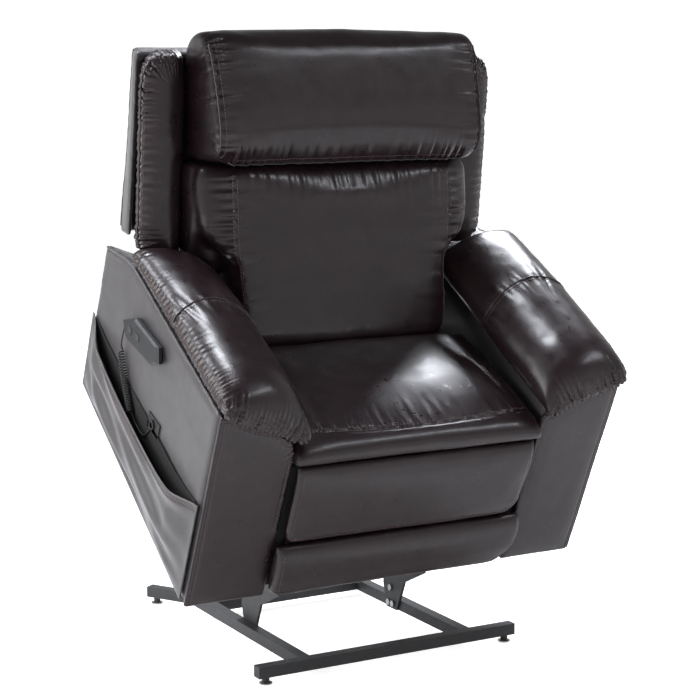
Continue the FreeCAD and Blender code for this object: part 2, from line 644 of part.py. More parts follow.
def make_recline_actuator():
    x, z = RECLINE_X, BACK_PIVOT[1] - RECLINE_LEVER
    start = (RECLINE_MOTOR_Y, z)
    tip_y = BACK_PIVOT[0] + RECLINE_LEVER * math.tan(math.radians(RECLINE_RANGE / 2))
    tip = tip_y - RECLINE_MOTOR_Y
    gearbox = rod_along(start, 0, -4, 70, 21, x)
    motor = rod_along((RECLINE_MOTOR_Y, z - 40), 0, 4, 104, 18, x)
    bridge = box(x - 14, x + 14, RECLINE_MOTOR_Y + 20, RECLINE_MOTOR_Y + 56, z - 42, z)
    foot = box(x - 16, x + 16, FRONT_CROSS[0], RECLINE_MOTOR_Y, z - 14, z + 18)
    housing = join(gearbox, motor, bridge, foot).cut(rod_x(FRONT_CROSS, x - 40, x + 40, CROSS_R))
    bore = rod_along(start, 0, 56, 80, ACTUATOR_TUBE_R - 3, x)
    save_seat("recline_motor_housing", [housing.cut(bore)])
    tube = rod_along(start, 0, 70, 320, ACTUATOR_TUBE_R, x)
    collar = rod_along(start, 0, 306, 324, ACTUATOR_TUBE_R + 3, x)
    inner = rod_along(start, 0, 60, 330, ROD_R + RUNNING, x)
    save_seat("recline_actuator_tube", [join(tube, collar).cut(inner)])
    shaft = rod_along(start, 0, tip - 230, tip - 8, ROD_R, x)
    end_eye = rod_x((tip_y, z), x - 13, x + 13, 12)
    rod = join(shaft, end_eye).cut(rod_x((tip_y, z), x - 14, x + 14, ROD_PIN_R))
    save_seat("recline_actuator_rod", [rod])
    pin = join(rod_x((tip_y, z), x - 23, x + 23, ROD_PIN_R),
               rod_x((tip_y, z), x - 25, x - 21, 8.5), rod_x((tip_y, z), x + 21, x + 25, 8.5))
    save_seat("recline_rod_pin", [pin])


def shell_rear(z):
    """The back shell's outer rear face at a height."""
    return 310 + 0.205 * (z - 560)


def make_back_shell():
    """Covered outer back: a rear board that narrows between the arms, two sides and a top."""
    def slab(z0, z1, half):
        return prism_x([(shell_rear(z0) - SHELL_WALL, z0), (shell_rear(z0), z0),
                        (shell_rear(z1), z1), (shell_rear(z1) - SHELL_WALL, z1)], -half, half)
    low, sill, top = 300.0, 584.0, 970.0
    sides = prism_x([(236, sill + 4), (shell_rear(sill) - SHELL_WALL + 1, sill),
                     (shell_rear(top) - SHELL_WALL + 1, top), (358, top)],
                    SHELL_HALF - SHELL_WALL, SHELL_HALF)
    cap = box(-SHELL_HALF, SHELL_HALF, 352, shell_rear(top) - SHELL_WALL + 2, top - 12, top)
    shell = join(slab(low, sill, 300), slab(sill, top, SHELL_HALF), sides, mirrored(sides), cap)
    save_seat("back_shell", [shell])


def make_back_cushions():
    middle = [(-45, 432), (-37, 480), (-6, 535), (55, 652), (109, 775), (118, 794), (284, 794),
              (196, 480), (172, 432)]
    cheeks = [(132, 668), (150, 794), (284, 794), (249, 668)]
    cushion = prism_x(middle, -BACK_HALF + 42, BACK_HALF - 42)
    edges = prism_x([(-30, 440), (-24, 482), (4, 535), (64, 652), (119, 775), (126, 794), (284, 794),
                     (196, 480), (176, 440)], -BACK_HALF, BACK_HALF)
    uprights_room = prism_x([(lean_line(380) - 23, 380), (lean_line(380) + 60, 380),
                             (lean_line(900) + 60, 900), (lean_line(900) - 23, 900)], -400, 400)
    side = prism_x(cheeks, -WING_INNER + 7, WING_INNER - 7)
    save_seat("back_cushion", [join(cushion, edges, side).cut(uprights_room)])

    roll = [(121, 801), (282, 801), (304, 905), (318, 920), (345, 985), (338, 1045), (300, 1068),
            (252, 1062), (214, 1000), (190, 930), (150, 850)]
    face = prism_y([(-HEADREST_HALF_LOW, 790), (HEADREST_HALF_LOW, 790),
                    (HEADREST_HALF_HIGH, 1040), (HEADREST_HALF_HIGH - 12, 1075),
                    (-HEADREST_HALF_HIGH + 12, 1075), (-HEADREST_HALF_HIGH, 1040)], 80, 400)
    save_seat("headrest_cushion", [prism_x(roll, -HEADREST_HALF_HIGH, HEADREST_HALF_HIGH).common(face)])

    wing = prism_x([(161, 592), (234, 588), (352, 965), (338, 982), (298, 984), (286, 972)],
                   WING_INNER, WING_OUTER)
    save_seat("left_wing", [wing])
    save_seat("right_wing", [mirrored(wing)])


# ---- footrest -----------------------------------------------------------------------
def make_footrest():
    x0, x1 = REAR_LINK_X, REAR_LINK_X + PLATE
    rear = bar(FOOT_PIVOT, FOOT_KNEE, 12, x0, x1).cut(rod_x(FOOT_PIVOT, x0 - 1, x1 + 1, FOOT_TUBE_R))
    rear = rear.cut(rod_x(FOOT_KNEE, x0 - 1, x1 + 1, FOOT_BOLT_R))
    save_seat("footrest_rear_links", both_sides([rear]))
    tube = rod_x(FOOT_PIVOT, -x1 - 1, x1 + 1, FOOT_TUBE_R)
    save_seat("footrest_tube", [tube.cut(rod_x(FOOT_PIVOT, -300, 300, FOOT_TUBE_R - 2))])
    knee_bolt = join(rod_x(FOOT_KNEE, x0 - 1, FRONT_LINK_X + PLATE + 1, FOOT_BOLT_R),
                     rod_x(FOOT_KNEE, x0 - 4, x0, 8),
                     rod_x(FOOT_KNEE, x1, FRONT_LINK_X - 0.2, 8),
                     rod_x(FOOT_KNEE, FRONT_LINK_X + PLATE + 0.2, FRONT_LINK_X + PLATE + 3, 8))
    save_seat("footrest_knee_bolts", both_sides([knee_bolt]))

    x0, x1 = FRONT_LINK_X, FRONT_LINK_X + PLATE
    front = bar(FOOT_KNEE, FOOT_BOARD_PIVOT, 11, x0, x1)
    front = front.cut(rod_x(FOOT_KNEE, x0 - 1, x1 + 1, FOOT_BOLT_R + RUNNING))
    front = front.cut(rod_x(FOOT_BOARD_PIVOT, x0 - 1, x1 + 1, FOOT_BOLT_R + RUNNING))
    save_seat("footrest_front_links", both_sides([front]))

    b0 = BOARD_BRACKET_X
    ear = prism_x([(-380, 224), (-360, 236), (-348, 244), (-348, 256), (-360, 264), (-380, 276)], b0, b0 + 5)
    flange = box(b0, b0 + 22, -380, -377, 224, 276)
    ear = join(ear, flange).cut(rod_x(FOOT_BOARD_PIVOT, b0 - 1, b0 + 6, FOOT_BOLT_R))
    bolt = join(rod_x(FOOT_BOARD_PIVOT, x0 - 1, b0 + 5, FOOT_BOLT_R),
                rod_x(FOOT_BOARD_PIVOT, x1 + 0.2, b0, 8),
                rod_x(FOOT_BOARD_PIVOT, x0 - 3, x0 - 0.2, 8),
                hex_head(FOOT_BOARD_PIVOT, b0 + 5, b0 + 9, 14))
    save_seat("footrest_board_brackets", both_sides([ear, bolt]))
    save_seat("footrest_board", [box(-BOARD_HALF, BOARD_HALF, -392, -380, 92, 380)])
    upper = prism_x([(-392.5, 214), (-412, 212), (-418, 226), (-418, 374), (-410, 388), (-392.5, 388)],
                    -UPPER_PAD_HALF, UPPER_PAD_HALF)
    save_seat("footrest_upper_pad", [upper])
    lower = prism_x([(-392.5, 78), (-426, 78), (-434, 90), (-430, 192), (-414, 208), (-392.5, 208)],
                    -LOWER_PAD_HALF, LOWER_PAD_HALF)
    save_seat("footrest_lower_pad", [lower])


def make_power_supply():
    """Transformer box hung under the seat box's rear rail."""
    case = box(-140, -90, 84, 150, 258, 300)
    save_seat("power_supply", [case.makeFillet(4, case.Edges[:4])])


os.makedirs("parts", exist_ok=True)
make_base()
make_lift_brackets()
make_lift_arms()
make_guide_links()
make_lift_actuator()
make_carriage()
make_seat_box()
make_seat_cushion()
make_arms()
make_side_items()
make_back_frame()
make_recline_actuator()
make_back_shell()
make_back_cushions()
make_footrest()
make_power_supply()
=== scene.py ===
import json
import math

import bmesh
import bpy
import numpy as np
from mathutils import Matrix, Vector, noise
from mathutils.bvhtree import BVHTree


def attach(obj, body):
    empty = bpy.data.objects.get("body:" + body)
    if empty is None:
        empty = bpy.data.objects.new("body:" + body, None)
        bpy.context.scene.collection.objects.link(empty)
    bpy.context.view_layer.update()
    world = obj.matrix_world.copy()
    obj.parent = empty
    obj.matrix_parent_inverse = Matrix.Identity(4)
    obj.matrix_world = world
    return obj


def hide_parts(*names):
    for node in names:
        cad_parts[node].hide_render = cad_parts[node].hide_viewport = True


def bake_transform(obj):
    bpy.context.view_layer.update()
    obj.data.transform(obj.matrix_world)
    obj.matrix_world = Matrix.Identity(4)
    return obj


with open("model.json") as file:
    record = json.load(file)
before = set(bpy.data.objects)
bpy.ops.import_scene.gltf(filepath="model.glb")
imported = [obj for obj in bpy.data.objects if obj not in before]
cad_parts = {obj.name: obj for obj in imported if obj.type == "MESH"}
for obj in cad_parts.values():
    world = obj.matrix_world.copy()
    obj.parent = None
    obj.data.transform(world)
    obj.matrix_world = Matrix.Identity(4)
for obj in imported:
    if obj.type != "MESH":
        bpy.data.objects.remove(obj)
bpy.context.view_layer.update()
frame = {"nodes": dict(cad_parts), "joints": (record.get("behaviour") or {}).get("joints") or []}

# A lift recliner chair in dark brown leather, standing in its lifted pose.
# Soft pieces are drawn in "seat coordinates": millimetres, as the chair sits when lowered,
# +Z up, the sitter facing -Y.  They are then placed where the frame's lift holds them.
SCENE = bpy.context.scene
MM = 0.001
SIDES = ((1, "left"), (-1, "right"))

# ---- the seat's place in the frame --------------------------------------------------
JOINTS = {j["name"]: j for j in frame["joints"]}
SEAT_UP = Vector(JOINTS["hand_control_lift_off"]["axis"]).normalized()
TILT = math.atan2(-SEAT_UP.y, SEAT_UP.z)
BACK_PIVOT_SEAT = Vector((0.0, 185.0, 350.0)) * MM
TURN = Matrix.Rotation(TILT, 3, "X")
SHIFT = Vector(JOINTS["back_recline"]["pos_m"]) - TURN @ BACK_PIVOT_SEAT
TURN_ARRAY = np.array(TURN)
SHIFT_ARRAY = np.array(SHIFT)

# ---- upholstery dimensions, seat coordinates ----------------------------------------
VOXEL = 0.006               # metres, the grain of the padded covers' meshes
CLOTH_FRAMES = 20
PANEL_SEAM_X = 267.0        # double-stitched seams of the back panel
HEADREST_LOW, HEADREST_HIGH = 324.0, 332.0
WING_INNER, WING_OUTER = 345.0, 436.0
ARM_OUTER = 479.0
ARM_PEAK_Y = 118.0
PAD_CROSS_SEAM_Y = -128.0
STITCH_LENGTH, STITCH_PITCH, STITCH_RADIUS = 5.5, 8.0, 0.75


def to_row(points):
    """Seat millimetres to row metres, for an array of points."""
    return (np.asarray(points, float) * MM) @ TURN_ARRAY.T + SHIFT_ARRAY


def to_seat(points):
    """Row metres back to seat millimetres."""
    return ((np.asarray(points, float) - SHIFT_ARRAY) @ TURN_ARRAY) / MM


def arm_top(y):
    """Height of the arm's outer top edge along the chair."""
    if y <= ARM_PEAK_Y:
        return 530 + 0.125 * (y + 390)
    return arm_top(ARM_PEAK_Y) - 0.24 * (y - ARM_PEAK_Y)


def arm_bottom(y):
    return 62 + 0.213 * (y + 390)


# ---- mesh helpers -------------------------------------------------------------------
def new_piece(name, points, faces):
    """A mesh object from points in seat millimetres."""
    mesh = bpy.data.meshes.new(name)
    mesh.from_pydata([tuple(p) for p in to_row(points)], [], faces)
    mesh.update()
    piece = bpy.data.objects.new(name, mesh)
    SCENE.collection.objects.link(piece)
    return piece


def fix_normals(piece):
    work = bmesh.new()
    work.from_mesh(piece.data)
    bmesh.ops.recalc_face_normals(work, faces=work.faces)
    work.to_mesh(piece.data)
    work.free()


def smooth_shade(piece):
    piece.data.polygons.foreach_set("use_smooth", [True] * len(piece.data.polygons))
    return piece


def skin_faces(rings, count):
    """Faces of a closed skin through rings of count points each, with both ends filled."""
    faces = []
    for k in range(rings - 1):
        for i in range(count):
            j = (i + 1) % count
            faces.append((k * count + i, k * count + j, (k + 1) * count + j, (k + 1) * count + i))
    faces.append(tuple(range(count - 1, -1, -1)))
    faces.append(tuple(range((rings - 1) * count, rings * count)))
    return faces


def loft(name, rings):
    """A closed form through equal-length rings of points in seat millimetres."""
    rings = [np.asarray(r, float) for r in rings]
    piece = new_piece(name, np.concatenate(rings), skin_faces(len(rings), len(rings[0])))
    fix_normals(piece)
    return piece


def curve_through(points, count, closed=False):
    """Evenly spaced points along a Catmull-Rom curve through the given ones."""
    pts = np.asarray(points, float)
    total = len(pts)
    spans = total if closed else total - 1
    dense = []
    for k in range(spans):
        if closed:
            p0, p1, p2, p3 = (pts[(k + j - 1) % total] for j in range(4))
        else:
            p0, p1, p2, p3 = (pts[min(max(k + j - 1, 0), total - 1)] for j in range(4))
        for t in np.linspace(0, 1, 16, endpoint=False):
            dense.append(0.5 * (2 * p1 + (p2 - p0) * t + (2 * p0 - 5 * p1 + 4 * p2 - p3) * t * t
                                + (3 * p1 - p0 - 3 * p2 + p3) * t ** 3))
    dense.append(pts[0] if closed else pts[-1])
    dense = np.array(dense)
    length = np.concatenate([[0], np.cumsum(np.linalg.norm(np.diff(dense, axis=0), axis=1))])
    marks = np.linspace(0, length[-1], count + 1)[:-1] if closed else np.linspace(0, length[-1], count)
    return np.stack([np.interp(marks, length, dense[:, a]) for a in range(dense.shape[1])], 1)


def coordinates(mesh, field="co"):
    flat = np.zeros(len(mesh.vertices) * 3, np.float64)
    mesh.vertices.foreach_get(field, flat)
    return flat.reshape(-1, 3)


def set_coordinates(mesh, points):
    mesh.vertices.foreach_set("co", np.asarray(points, np.float32).ravel())
    mesh.update()


def bake_modifiers(piece):
    """Replaces the piece's mesh with the result of its modifiers."""
    graph = bpy.context.evaluated_depsgraph_get()
    graph.update()
    mesh = bpy.data.meshes.new_from_object(piece.evaluated_get(graph))
    piece.modifiers.clear()
    old = piece.data
    piece.data = mesh
    bpy.data.meshes.remove(old)
    return piece


def remesh(piece, voxel=VOXEL, rounds=8):
    """An even mesh over the closed form, its voxel steps smoothed away."""
    skin = piece.modifiers.new("skin", "REMESH")
    skin.mode = "VOXEL"
    skin.voxel_size = voxel
    soften = piece.modifiers.new("soften", "SMOOTH")
    soften.factor = 0.6
    soften.iterations = rounds
    return bake_modifiers(piece)


def subdivide(piece):
    piece.modifiers.new("fine", "SUBSURF").levels = 1
    return smooth_shade(bake_modifiers(piece))


def evened(mesh, values, rounds):
    """Averages a value at every point with its neighbours', a number of times."""
    flat = np.zeros(len(mesh.edges) * 2, np.int64)
    mesh.edges.foreach_get("vertices", flat)
    a, b = flat.reshape(-1, 2).T
    count = len(values)
    degree = np.maximum(np.bincount(a, minlength=count) + np.bincount(b, minlength=count), 1)
    for _ in range(rounds):
        columns = [np.bincount(a, values[b, k], count) + np.bincount(b, values[a, k], count)
                   for k in range(3)]
        values = 0.5 * values + 0.5 * np.stack(columns, 1) / degree[:, None]
    return values


def inflate(piece, pinned, pressure, cap, stiffness=12.0):
    """Swells the form as padded leather: pinned points hold while pressure pushes the rest out.

    pinned takes the points in seat millimetres and says how firmly each is held, 0 to 1.
    No point ends further than cap millimetres from where it began; the moves are then evened out.
    """
    start = coordinates(piece.data)
    hold = np.clip(pinned(to_seat(start)), 0, 1)
    group = piece.vertex_groups.new(name="hold")
    for index, weight in enumerate(hold):
        if weight > 0:
            group.add([index], float(weight), "REPLACE")
    cloth = piece.modifiers.new("cloth", "CLOTH")
    settings = cloth.settings
    settings.quality = 4
    settings.mass = 0.3
    settings.tension_stiffness = stiffness
    settings.compression_stiffness = stiffness
    settings.bending_stiffness = 0.4
    settings.use_pressure = True
    settings.uniform_pressure_force = pressure
    settings.effector_weights.gravity = 0
    settings.vertex_group_mass = "hold"
    cloth.collision_settings.use_collision = False
    for step in range(1, CLOTH_FRAMES + 1):
        SCENE.frame_set(step)
    graph = bpy.context.evaluated_depsgraph_get()
    swollen = coordinates(piece.evaluated_get(graph).to_mesh())
    piece.evaluated_get(graph).to_mesh_clear()
    piece.modifiers.clear()
    piece.vertex_groups.clear()
    SCENE.frame_set(1)
    move = swollen - start
    size = np.linalg.norm(move, axis=1, keepdims=True)
    limit = cap * MM
    move *= np.tanh(size / limit) * limit / np.maximum(size, 1e-9)
    set_coordinates(piece.data, start + evened(piece.data, move, 24))


# ---- seams, gathers and stitches ----------------------------------------------------
def push_out(piece, points, amount):
    """Moves each point along its normal by an amount in millimetres."""
    normals = coordinates(piece.data, "normal")
    set_coordinates(piece.data, points + normals * (amount * MM)[:, None])


def dense_line(line, step):
    """A smooth line through the given points with a point about every step millimetres."""
    length = np.linalg.norm(np.diff(np.asarray(line, float), axis=0), axis=1).sum()
    return curve_through(line, max(8, int(length / step)))


def nearest_on_line(points, line, far=90.0):
    """Distance to a line and how far along it, in millimetres; points beyond far are not measured."""
    samples = dense_line(line, 2.5)
    along = np.concatenate([[0], np.cumsum(np.linalg.norm(np.diff(samples, axis=0), axis=1))])
    gap = np.full(len(points), 10 * far)
    run = np.zeros(len(points))
    low, high = samples.min(0) - far, samples.max(0) + far
    near = np.flatnonzero(((points > low) & (points < high)).all(1))
    squares = (samples ** 2).sum(1)
    for part in np.array_split(near, max(1, len(near) // 4000)):
        spread = (points[part] ** 2).sum(1)[:, None] + squares - 2 * points[part] @ samples.T
        best = spread.argmin(1)
        gap[part] = np.sqrt(np.maximum(spread[np.arange(len(part)), best], 0))
        run[part] = along[best]
    return gap, run


def close_to(points, lines, reach=7.0):
    """1 on the lines, falling to 0 at the reach."""
    best = np.zeros(len(points))
    for line in lines:
        gap, _ = nearest_on_line(points, line)
        best = np.maximum(best, np.clip(1.6 * (1 - gap / reach), 0, 1))
    return best


def groove(piece, line, depth, width):
    """Presses a sewn seam into the surface."""
    points = coordinates(piece.data)
    gap, _ = nearest_on_line(to_seat(points), line)
    push_out(piece, points, -depth * np.exp(-(gap / width) ** 2))


def gathers(piece, line, pitch, height, reach, seed, side=None, ends=0.0):
    """Pleats that run away from a seam, each with its own height, reach and place.

    side says how much of the height a point gets; ends keeps pleats to that share at each end.
    """
    rng = np.random.default_rng(seed)
    points = coordinates(piece.data)
    seat = to_seat(points)
    gap, run = nearest_on_line(seat, line)
    total = run.max() + 1e-6
    count = int(total / pitch) + 4
    strength = rng.uniform(0.35, 1.0, count)
    shift = rng.uniform(-0.35, 0.35, count)
    cell = run / pitch
    index = np.clip(np.floor(cell).astype(int), 0, len(strength) - 2)
    local = cell - index - 0.5 + shift[index] * 0.5
    ridge = np.cos(np.clip(local, -0.5, 0.5) * 2 * math.pi)
    own_reach = reach * (0.55 + 0.75 * strength[index])
    fade = np.exp(-(gap / own_reach) ** 2) * np.clip(gap / 4.0, 0.25, 1)
    amount = height * strength[index] * ridge * fade
    if ends > 0:
        edge = np.minimum(run, total - run) / total
        amount *= np.clip(1 - edge / ends, 0, 1)
    if side is not None:
        amount *= side(seat)
    push_out(piece, points, amount)


def undulate(piece, height, size, seed):
    """The slow unevenness of leather over filling."""
    points = coordinates(piece.data)
    scale = 1 / (size * MM)
    offset = Vector((seed * 7.3, seed * 3.1, seed * 1.7))
    amount = np.array([noise.noise(Vector(p) * scale + offset) for p in points])
    fine = np.array([noise.noise(Vector(p) * scale * 2.7 - offset) for p in points])
    push_out(piece, points, height * (amount + 0.35 * fine))


def surface_tree(piece):
    mesh = piece.data
    return BVHTree.FromPolygons([v.co.copy() for v in mesh.vertices],
                                [tuple(p.vertices) for p in mesh.polygons])


def tube(points, radius, sides):
    """Points and faces of a round tube along a path, closed at both ends, in seat millimetres."""
    path = np.asarray(points, float)
    tangents = np.gradient(path, axis=0)
    tangents /= np.linalg.norm(tangents, axis=1, keepdims=True)
    guide = np.array((0.0, 0.0, 1.0))
    if abs(tangents[0] @ guide) > 0.9:
        guide = np.array((1.0, 0.0, 0.0))
    rings = []
    for p, t in zip(path, tangents):
        across = guide - t * (guide @ t)
        across /= np.linalg.norm(across)
        up = np.cross(t, across)
        guide = across
        angles = np.linspace(0, 2 * math.pi, sides, endpoint=False)
        rings.append([p + radius * (math.cos(a) * across + math.sin(a) * up) for a in angles])
    return [point for ring in rings for point in ring], skin_faces(len(rings), sides)


def tubes_piece(name, paths, radius, sides):
    verts, faces = [], []
    for path in paths:
        v, f = tube(path, radius, sides)
        base = len(verts)
        verts.extend(v)
        faces.extend(tuple(i + base for i in face) for face in f)
    return smooth_shade(new_piece(name, verts, faces))


def laid_on(surface, line, lift, step):
    """A line in seat millimetres dropped onto a piece's surface."""
    tree = surface_tree(surface)
    laid = []
    for p in to_row(dense_line(line, step)):
        place, normal, _, _ = tree.find_nearest(Vector(p))
        laid.append(place + normal * lift * MM)
    return to_seat(laid)


def stitches(name, surface, lines):
    """Thread stitches along lines on a piece, each a short tube with both ends in the leather."""
    paths = []
    for line in lines:
        laid = laid_on(surface, line, 0.2, 1.0)
        step = np.linalg.norm(np.diff(laid, axis=0), axis=1)
        along = np.concatenate([[0], np.cumsum(step)])
        for start in np.arange(2.0, along[-1] - STITCH_LENGTH, STITCH_PITCH):
            marks = start + STITCH_LENGTH * np.array((0.0, 0.18, 0.5, 0.82, 1.0))
            paths.append(np.stack([np.interp(marks, along, laid[:, a]) for a in range(3)], 1))
    return tubes_piece(name, paths, STITCH_RADIUS, 6)


def welt(name, surface, line, radius):
    return tubes_piece(name, [laid_on(surface, line, 0.4, 4.0)], radius, 8)


def from_node(name, node, voxel, rounds):
    """A soft cover in the shape of a CAD solid, its corners rounded by the remesh."""
    source = frame["nodes"][node]
    piece = bpy.data.objects.new(name, source.data.copy())
    piece.data.materials.clear()
    SCENE.collection.objects.link(piece)
    return remesh(piece, voxel, rounds)


# ---- materials ----------------------------------------------------------------------
class Nodes:
    """Short spelling for building a node material."""

    def __init__(self, name):
        self.material = bpy.data.materials.new(name)
        self.material.use_nodes = True
        self.tree = self.material.node_tree
        self.bsdf = self.tree.nodes["Principled BSDF"]
        self.place = self.add("ShaderNodeTexCoord").outputs["Object"]

    def add(self, kind, **values):
        node = self.tree.nodes.new(kind)
        for key, value in values.items():
            setattr(node, key, value)
        return node

    def link(self, source, target):
        self.tree.links.new(source, target)

    def noise(self, scale, detail=3.0, rough=0.5, stretch=None):
        node = self.add("ShaderNodeTexNoise")
        node.inputs["Scale"].default_value = scale
        node.inputs["Detail"].default_value = detail
        node.inputs["Roughness"].default_value = rough
        source = self.place
        if stretch:
            mapping = self.add("ShaderNodeMapping")
            mapping.inputs["Scale"].default_value = stretch
            self.link(self.place, mapping.inputs["Vector"])
            source = mapping.outputs["Vector"]
        self.link(source, node.inputs["Vector"])
        return node.outputs["Fac"]

    def cells(self, scale):
        """Distance to the edges of slightly warped cells."""
        node = self.add("ShaderNodeTexVoronoi", feature="DISTANCE_TO_EDGE")
        node.inputs["Scale"].default_value = scale
        warp = self.add("ShaderNodeTexNoise")
        warp.inputs["Scale"].default_value = scale * 0.6
        mix = self.add("ShaderNodeMix", data_type="VECTOR")
        mix.inputs["Factor"].default_value = 0.0006
        self.link(self.place, mix.inputs["A"])
        self.link(warp.outputs["Color"], mix.inputs["B"])
        self.link(mix.outputs["Result"], node.inputs["Vector"])
        return node.outputs["Distance"]

    def span(self, value, low=0.3, high=0.7, out_low=0.0, out_high=1.0):
        node = self.add("ShaderNodeMapRange")
        node.inputs["From Min"].default_value = low
        node.inputs["From Max"].default_value = high
        node.inputs["To Min"].default_value = out_low
        node.inputs["To Max"].default_value = out_high
        self.link(value, node.inputs["Value"])
        return node.outputs["Result"]

    def mix_colour(self, factor, a, b):
        node = self.add("ShaderNodeMix", data_type="RGBA")
        self.link(factor, node.inputs["Factor"])
        for socket, value in (("A", a), ("B", b)):
            target = [s for s in node.inputs if s.name == socket and s.type == "RGBA"][0]
            if isinstance(value, tuple):
                target.default_value = (*value, 1)
            else:
                self.link(value, target)
        return [s for s in node.outputs if s.type == "RGBA"][0]

    def add_bump(self, height, distance, strength, below=None):
        node = self.add("ShaderNodeBump")
        node.inputs["Strength"].default_value = strength
        node.inputs["Distance"].default_value = distance
        self.link(height, node.inputs["Height"])
        if below is not None:
            self.link(below, node.inputs["Normal"])
        return node.outputs["Normal"]

    def edges(self, low=0.53, high=0.7):
        """Rises from 0 to 1 where the surface turns a sharp outer edge."""
        pointiness = self.add("ShaderNodeNewGeometry").outputs["Pointiness"]
        return self.span(pointiness, low, high)


def leather(name, dark, light, rough=0.31, grain=0.5, sheen=0.0, inner=None):
    """Pigmented leather: mottled colour, fine pebbled grain, slow creases, lighter rubbed edges.

    inner is a painted shade: the darker colour given to the faces nearer the middle of the chair than the
    arms' insides.
    """
    n = Nodes(name)
    mottle = n.span(n.noise(22, 4, 0.6))
    colour = n.mix_colour(mottle, dark, light)
    rubbed = n.edges(0.52, 0.66)
    colour = n.mix_colour(rubbed, colour, tuple(min(1, c * 2.6 + 0.01) for c in light))
    # painted shade: faces nearer the middle of the chair than the arms' insides take the darker inner colour
    if inner:
        across = n.add("ShaderNodeSeparateXYZ")
        n.link(n.place, across.inputs["Vector"])
        size = n.add("ShaderNodeMath", operation="ABSOLUTE")
        n.link(across.outputs["X"], size.inputs[0])
        colour = n.mix_colour(n.span(size.outputs[0], 0.325, 0.35), inner, colour)
    n.link(colour, n.bsdf.inputs["Base Color"])
    patch = n.span(n.noise(35, 3, 0.55), 0.3, 0.7, rough - 0.05, rough + 0.08)
    n.link(patch, n.bsdf.inputs["Roughness"])
    creases = n.add_bump(n.noise(60, 4, 0.6, (1.0, 1.0, 0.55)), 0.0016, 0.35 * grain)
    pebbles = n.add_bump(n.span(n.cells(620), 0.0, 0.25), 0.0002, 0.3 * grain, creases)
    pores = n.add_bump(n.noise(1500, 2, 0.6), 0.00005, 0.2 * grain, pebbles)
    n.link(pores, n.bsdf.inputs["Normal"])
    n.bsdf.inputs["Specular IOR Level"].default_value = 0.5
    n.bsdf.inputs["Coat Weight"].default_value = 0.25
    n.bsdf.inputs["Coat Roughness"].default_value = 0.2
    n.bsdf.inputs["Sheen Weight"].default_value = sheen
    return n.material


def painted_metal(name, colour, rough):
    """Powder-coated steel: faint orange-peel texture, scuffed lighter edges."""
    n = Nodes(name)
    mottle = n.span(n.noise(40, 3))
    base = n.mix_colour(mottle, tuple(c * 0.8 for c in colour), tuple(c * 1.2 for c in colour))
    base = n.mix_colour(n.edges(), base, tuple(min(1, c * 2.2 + 0.03) for c in colour))
    n.link(base, n.bsdf.inputs["Base Color"])
    n.link(n.span(n.noise(120, 3), 0.3, 0.7, rough - 0.06, rough + 0.08), n.bsdf.inputs["Roughness"])
    n.link(n.add_bump(n.noise(900, 2), 0.0002, 0.25), n.bsdf.inputs["Normal"])
    return n.material


def patterned(name, pattern, colours, rough, bump, metallic=0.0):
    """A material whose colour, roughness and bump all follow one noise pattern.

    pattern is the noise's scale, detail, roughness and stretch; bump is its distance and strength.
    """
    n = Nodes(name)
    marks = n.noise(*pattern)
    n.link(n.mix_colour(n.span(marks), *colours), n.bsdf.inputs["Base Color"])
    n.link(n.span(marks, 0.3, 0.7, *rough), n.bsdf.inputs["Roughness"])
    n.link(n.add_bump(marks, *bump), n.bsdf.inputs["Normal"])
    n.bsdf.inputs["Metallic"].default_value = metallic
    return n.material


def brushed_metal(name, colour, rough):
    """Bare or plated steel with fine drawing marks."""
    colours = (tuple(c * 0.75 for c in colour), colour)
    spread = (rough - 0.07, rough + 0.1)
    return patterned(name, (180, 4, 0.6, (1, 1, 20)), colours, spread, (0.0001, 0.25), 1.0)


def moulded_plastic(name, colour, rough):
    """Injection-moulded plastic with a fine spark texture."""
    n = Nodes(name)
    base = n.mix_colour(n.span(n.noise(60, 3), 0.35, 0.65), tuple(c * 0.85 for c in colour), colour)
    base = n.mix_colour(n.edges(), base, tuple(min(1, c * 1.8 + 0.02) for c in colour))
    n.link(base, n.bsdf.inputs["Base Color"])
    n.link(n.span(n.noise(250, 2), 0.3, 0.7, rough - 0.05, rough + 0.06), n.bsdf.inputs["Roughness"])
    n.link(n.add_bump(n.noise(700, 2), 0.00015, 0.35), n.bsdf.inputs["Normal"])
    return n.material


PLYWOOD = patterned("plywood_grain", (14, 5, 0.65, (0.4, 6.0, 6.0)),
                    ((0.42, 0.27, 0.14), (0.62, 0.45, 0.27)), (0.55, 0.75), (0.0004, 0.4))
# black woven cloth wrapped round the hidden boards; also the black of the painted shadow in the pocket's
# opening
BLACK_CLOTH_AND_SHADOW = patterned("lining_cloth_and_painted_shadow", (900, 2, 0.5, (1, 1, 0.5)),
                   ((0.006, 0.006, 0.006), (0.014, 0.013, 0.013)), (0.8, 0.95), (0.0005, 0.6))
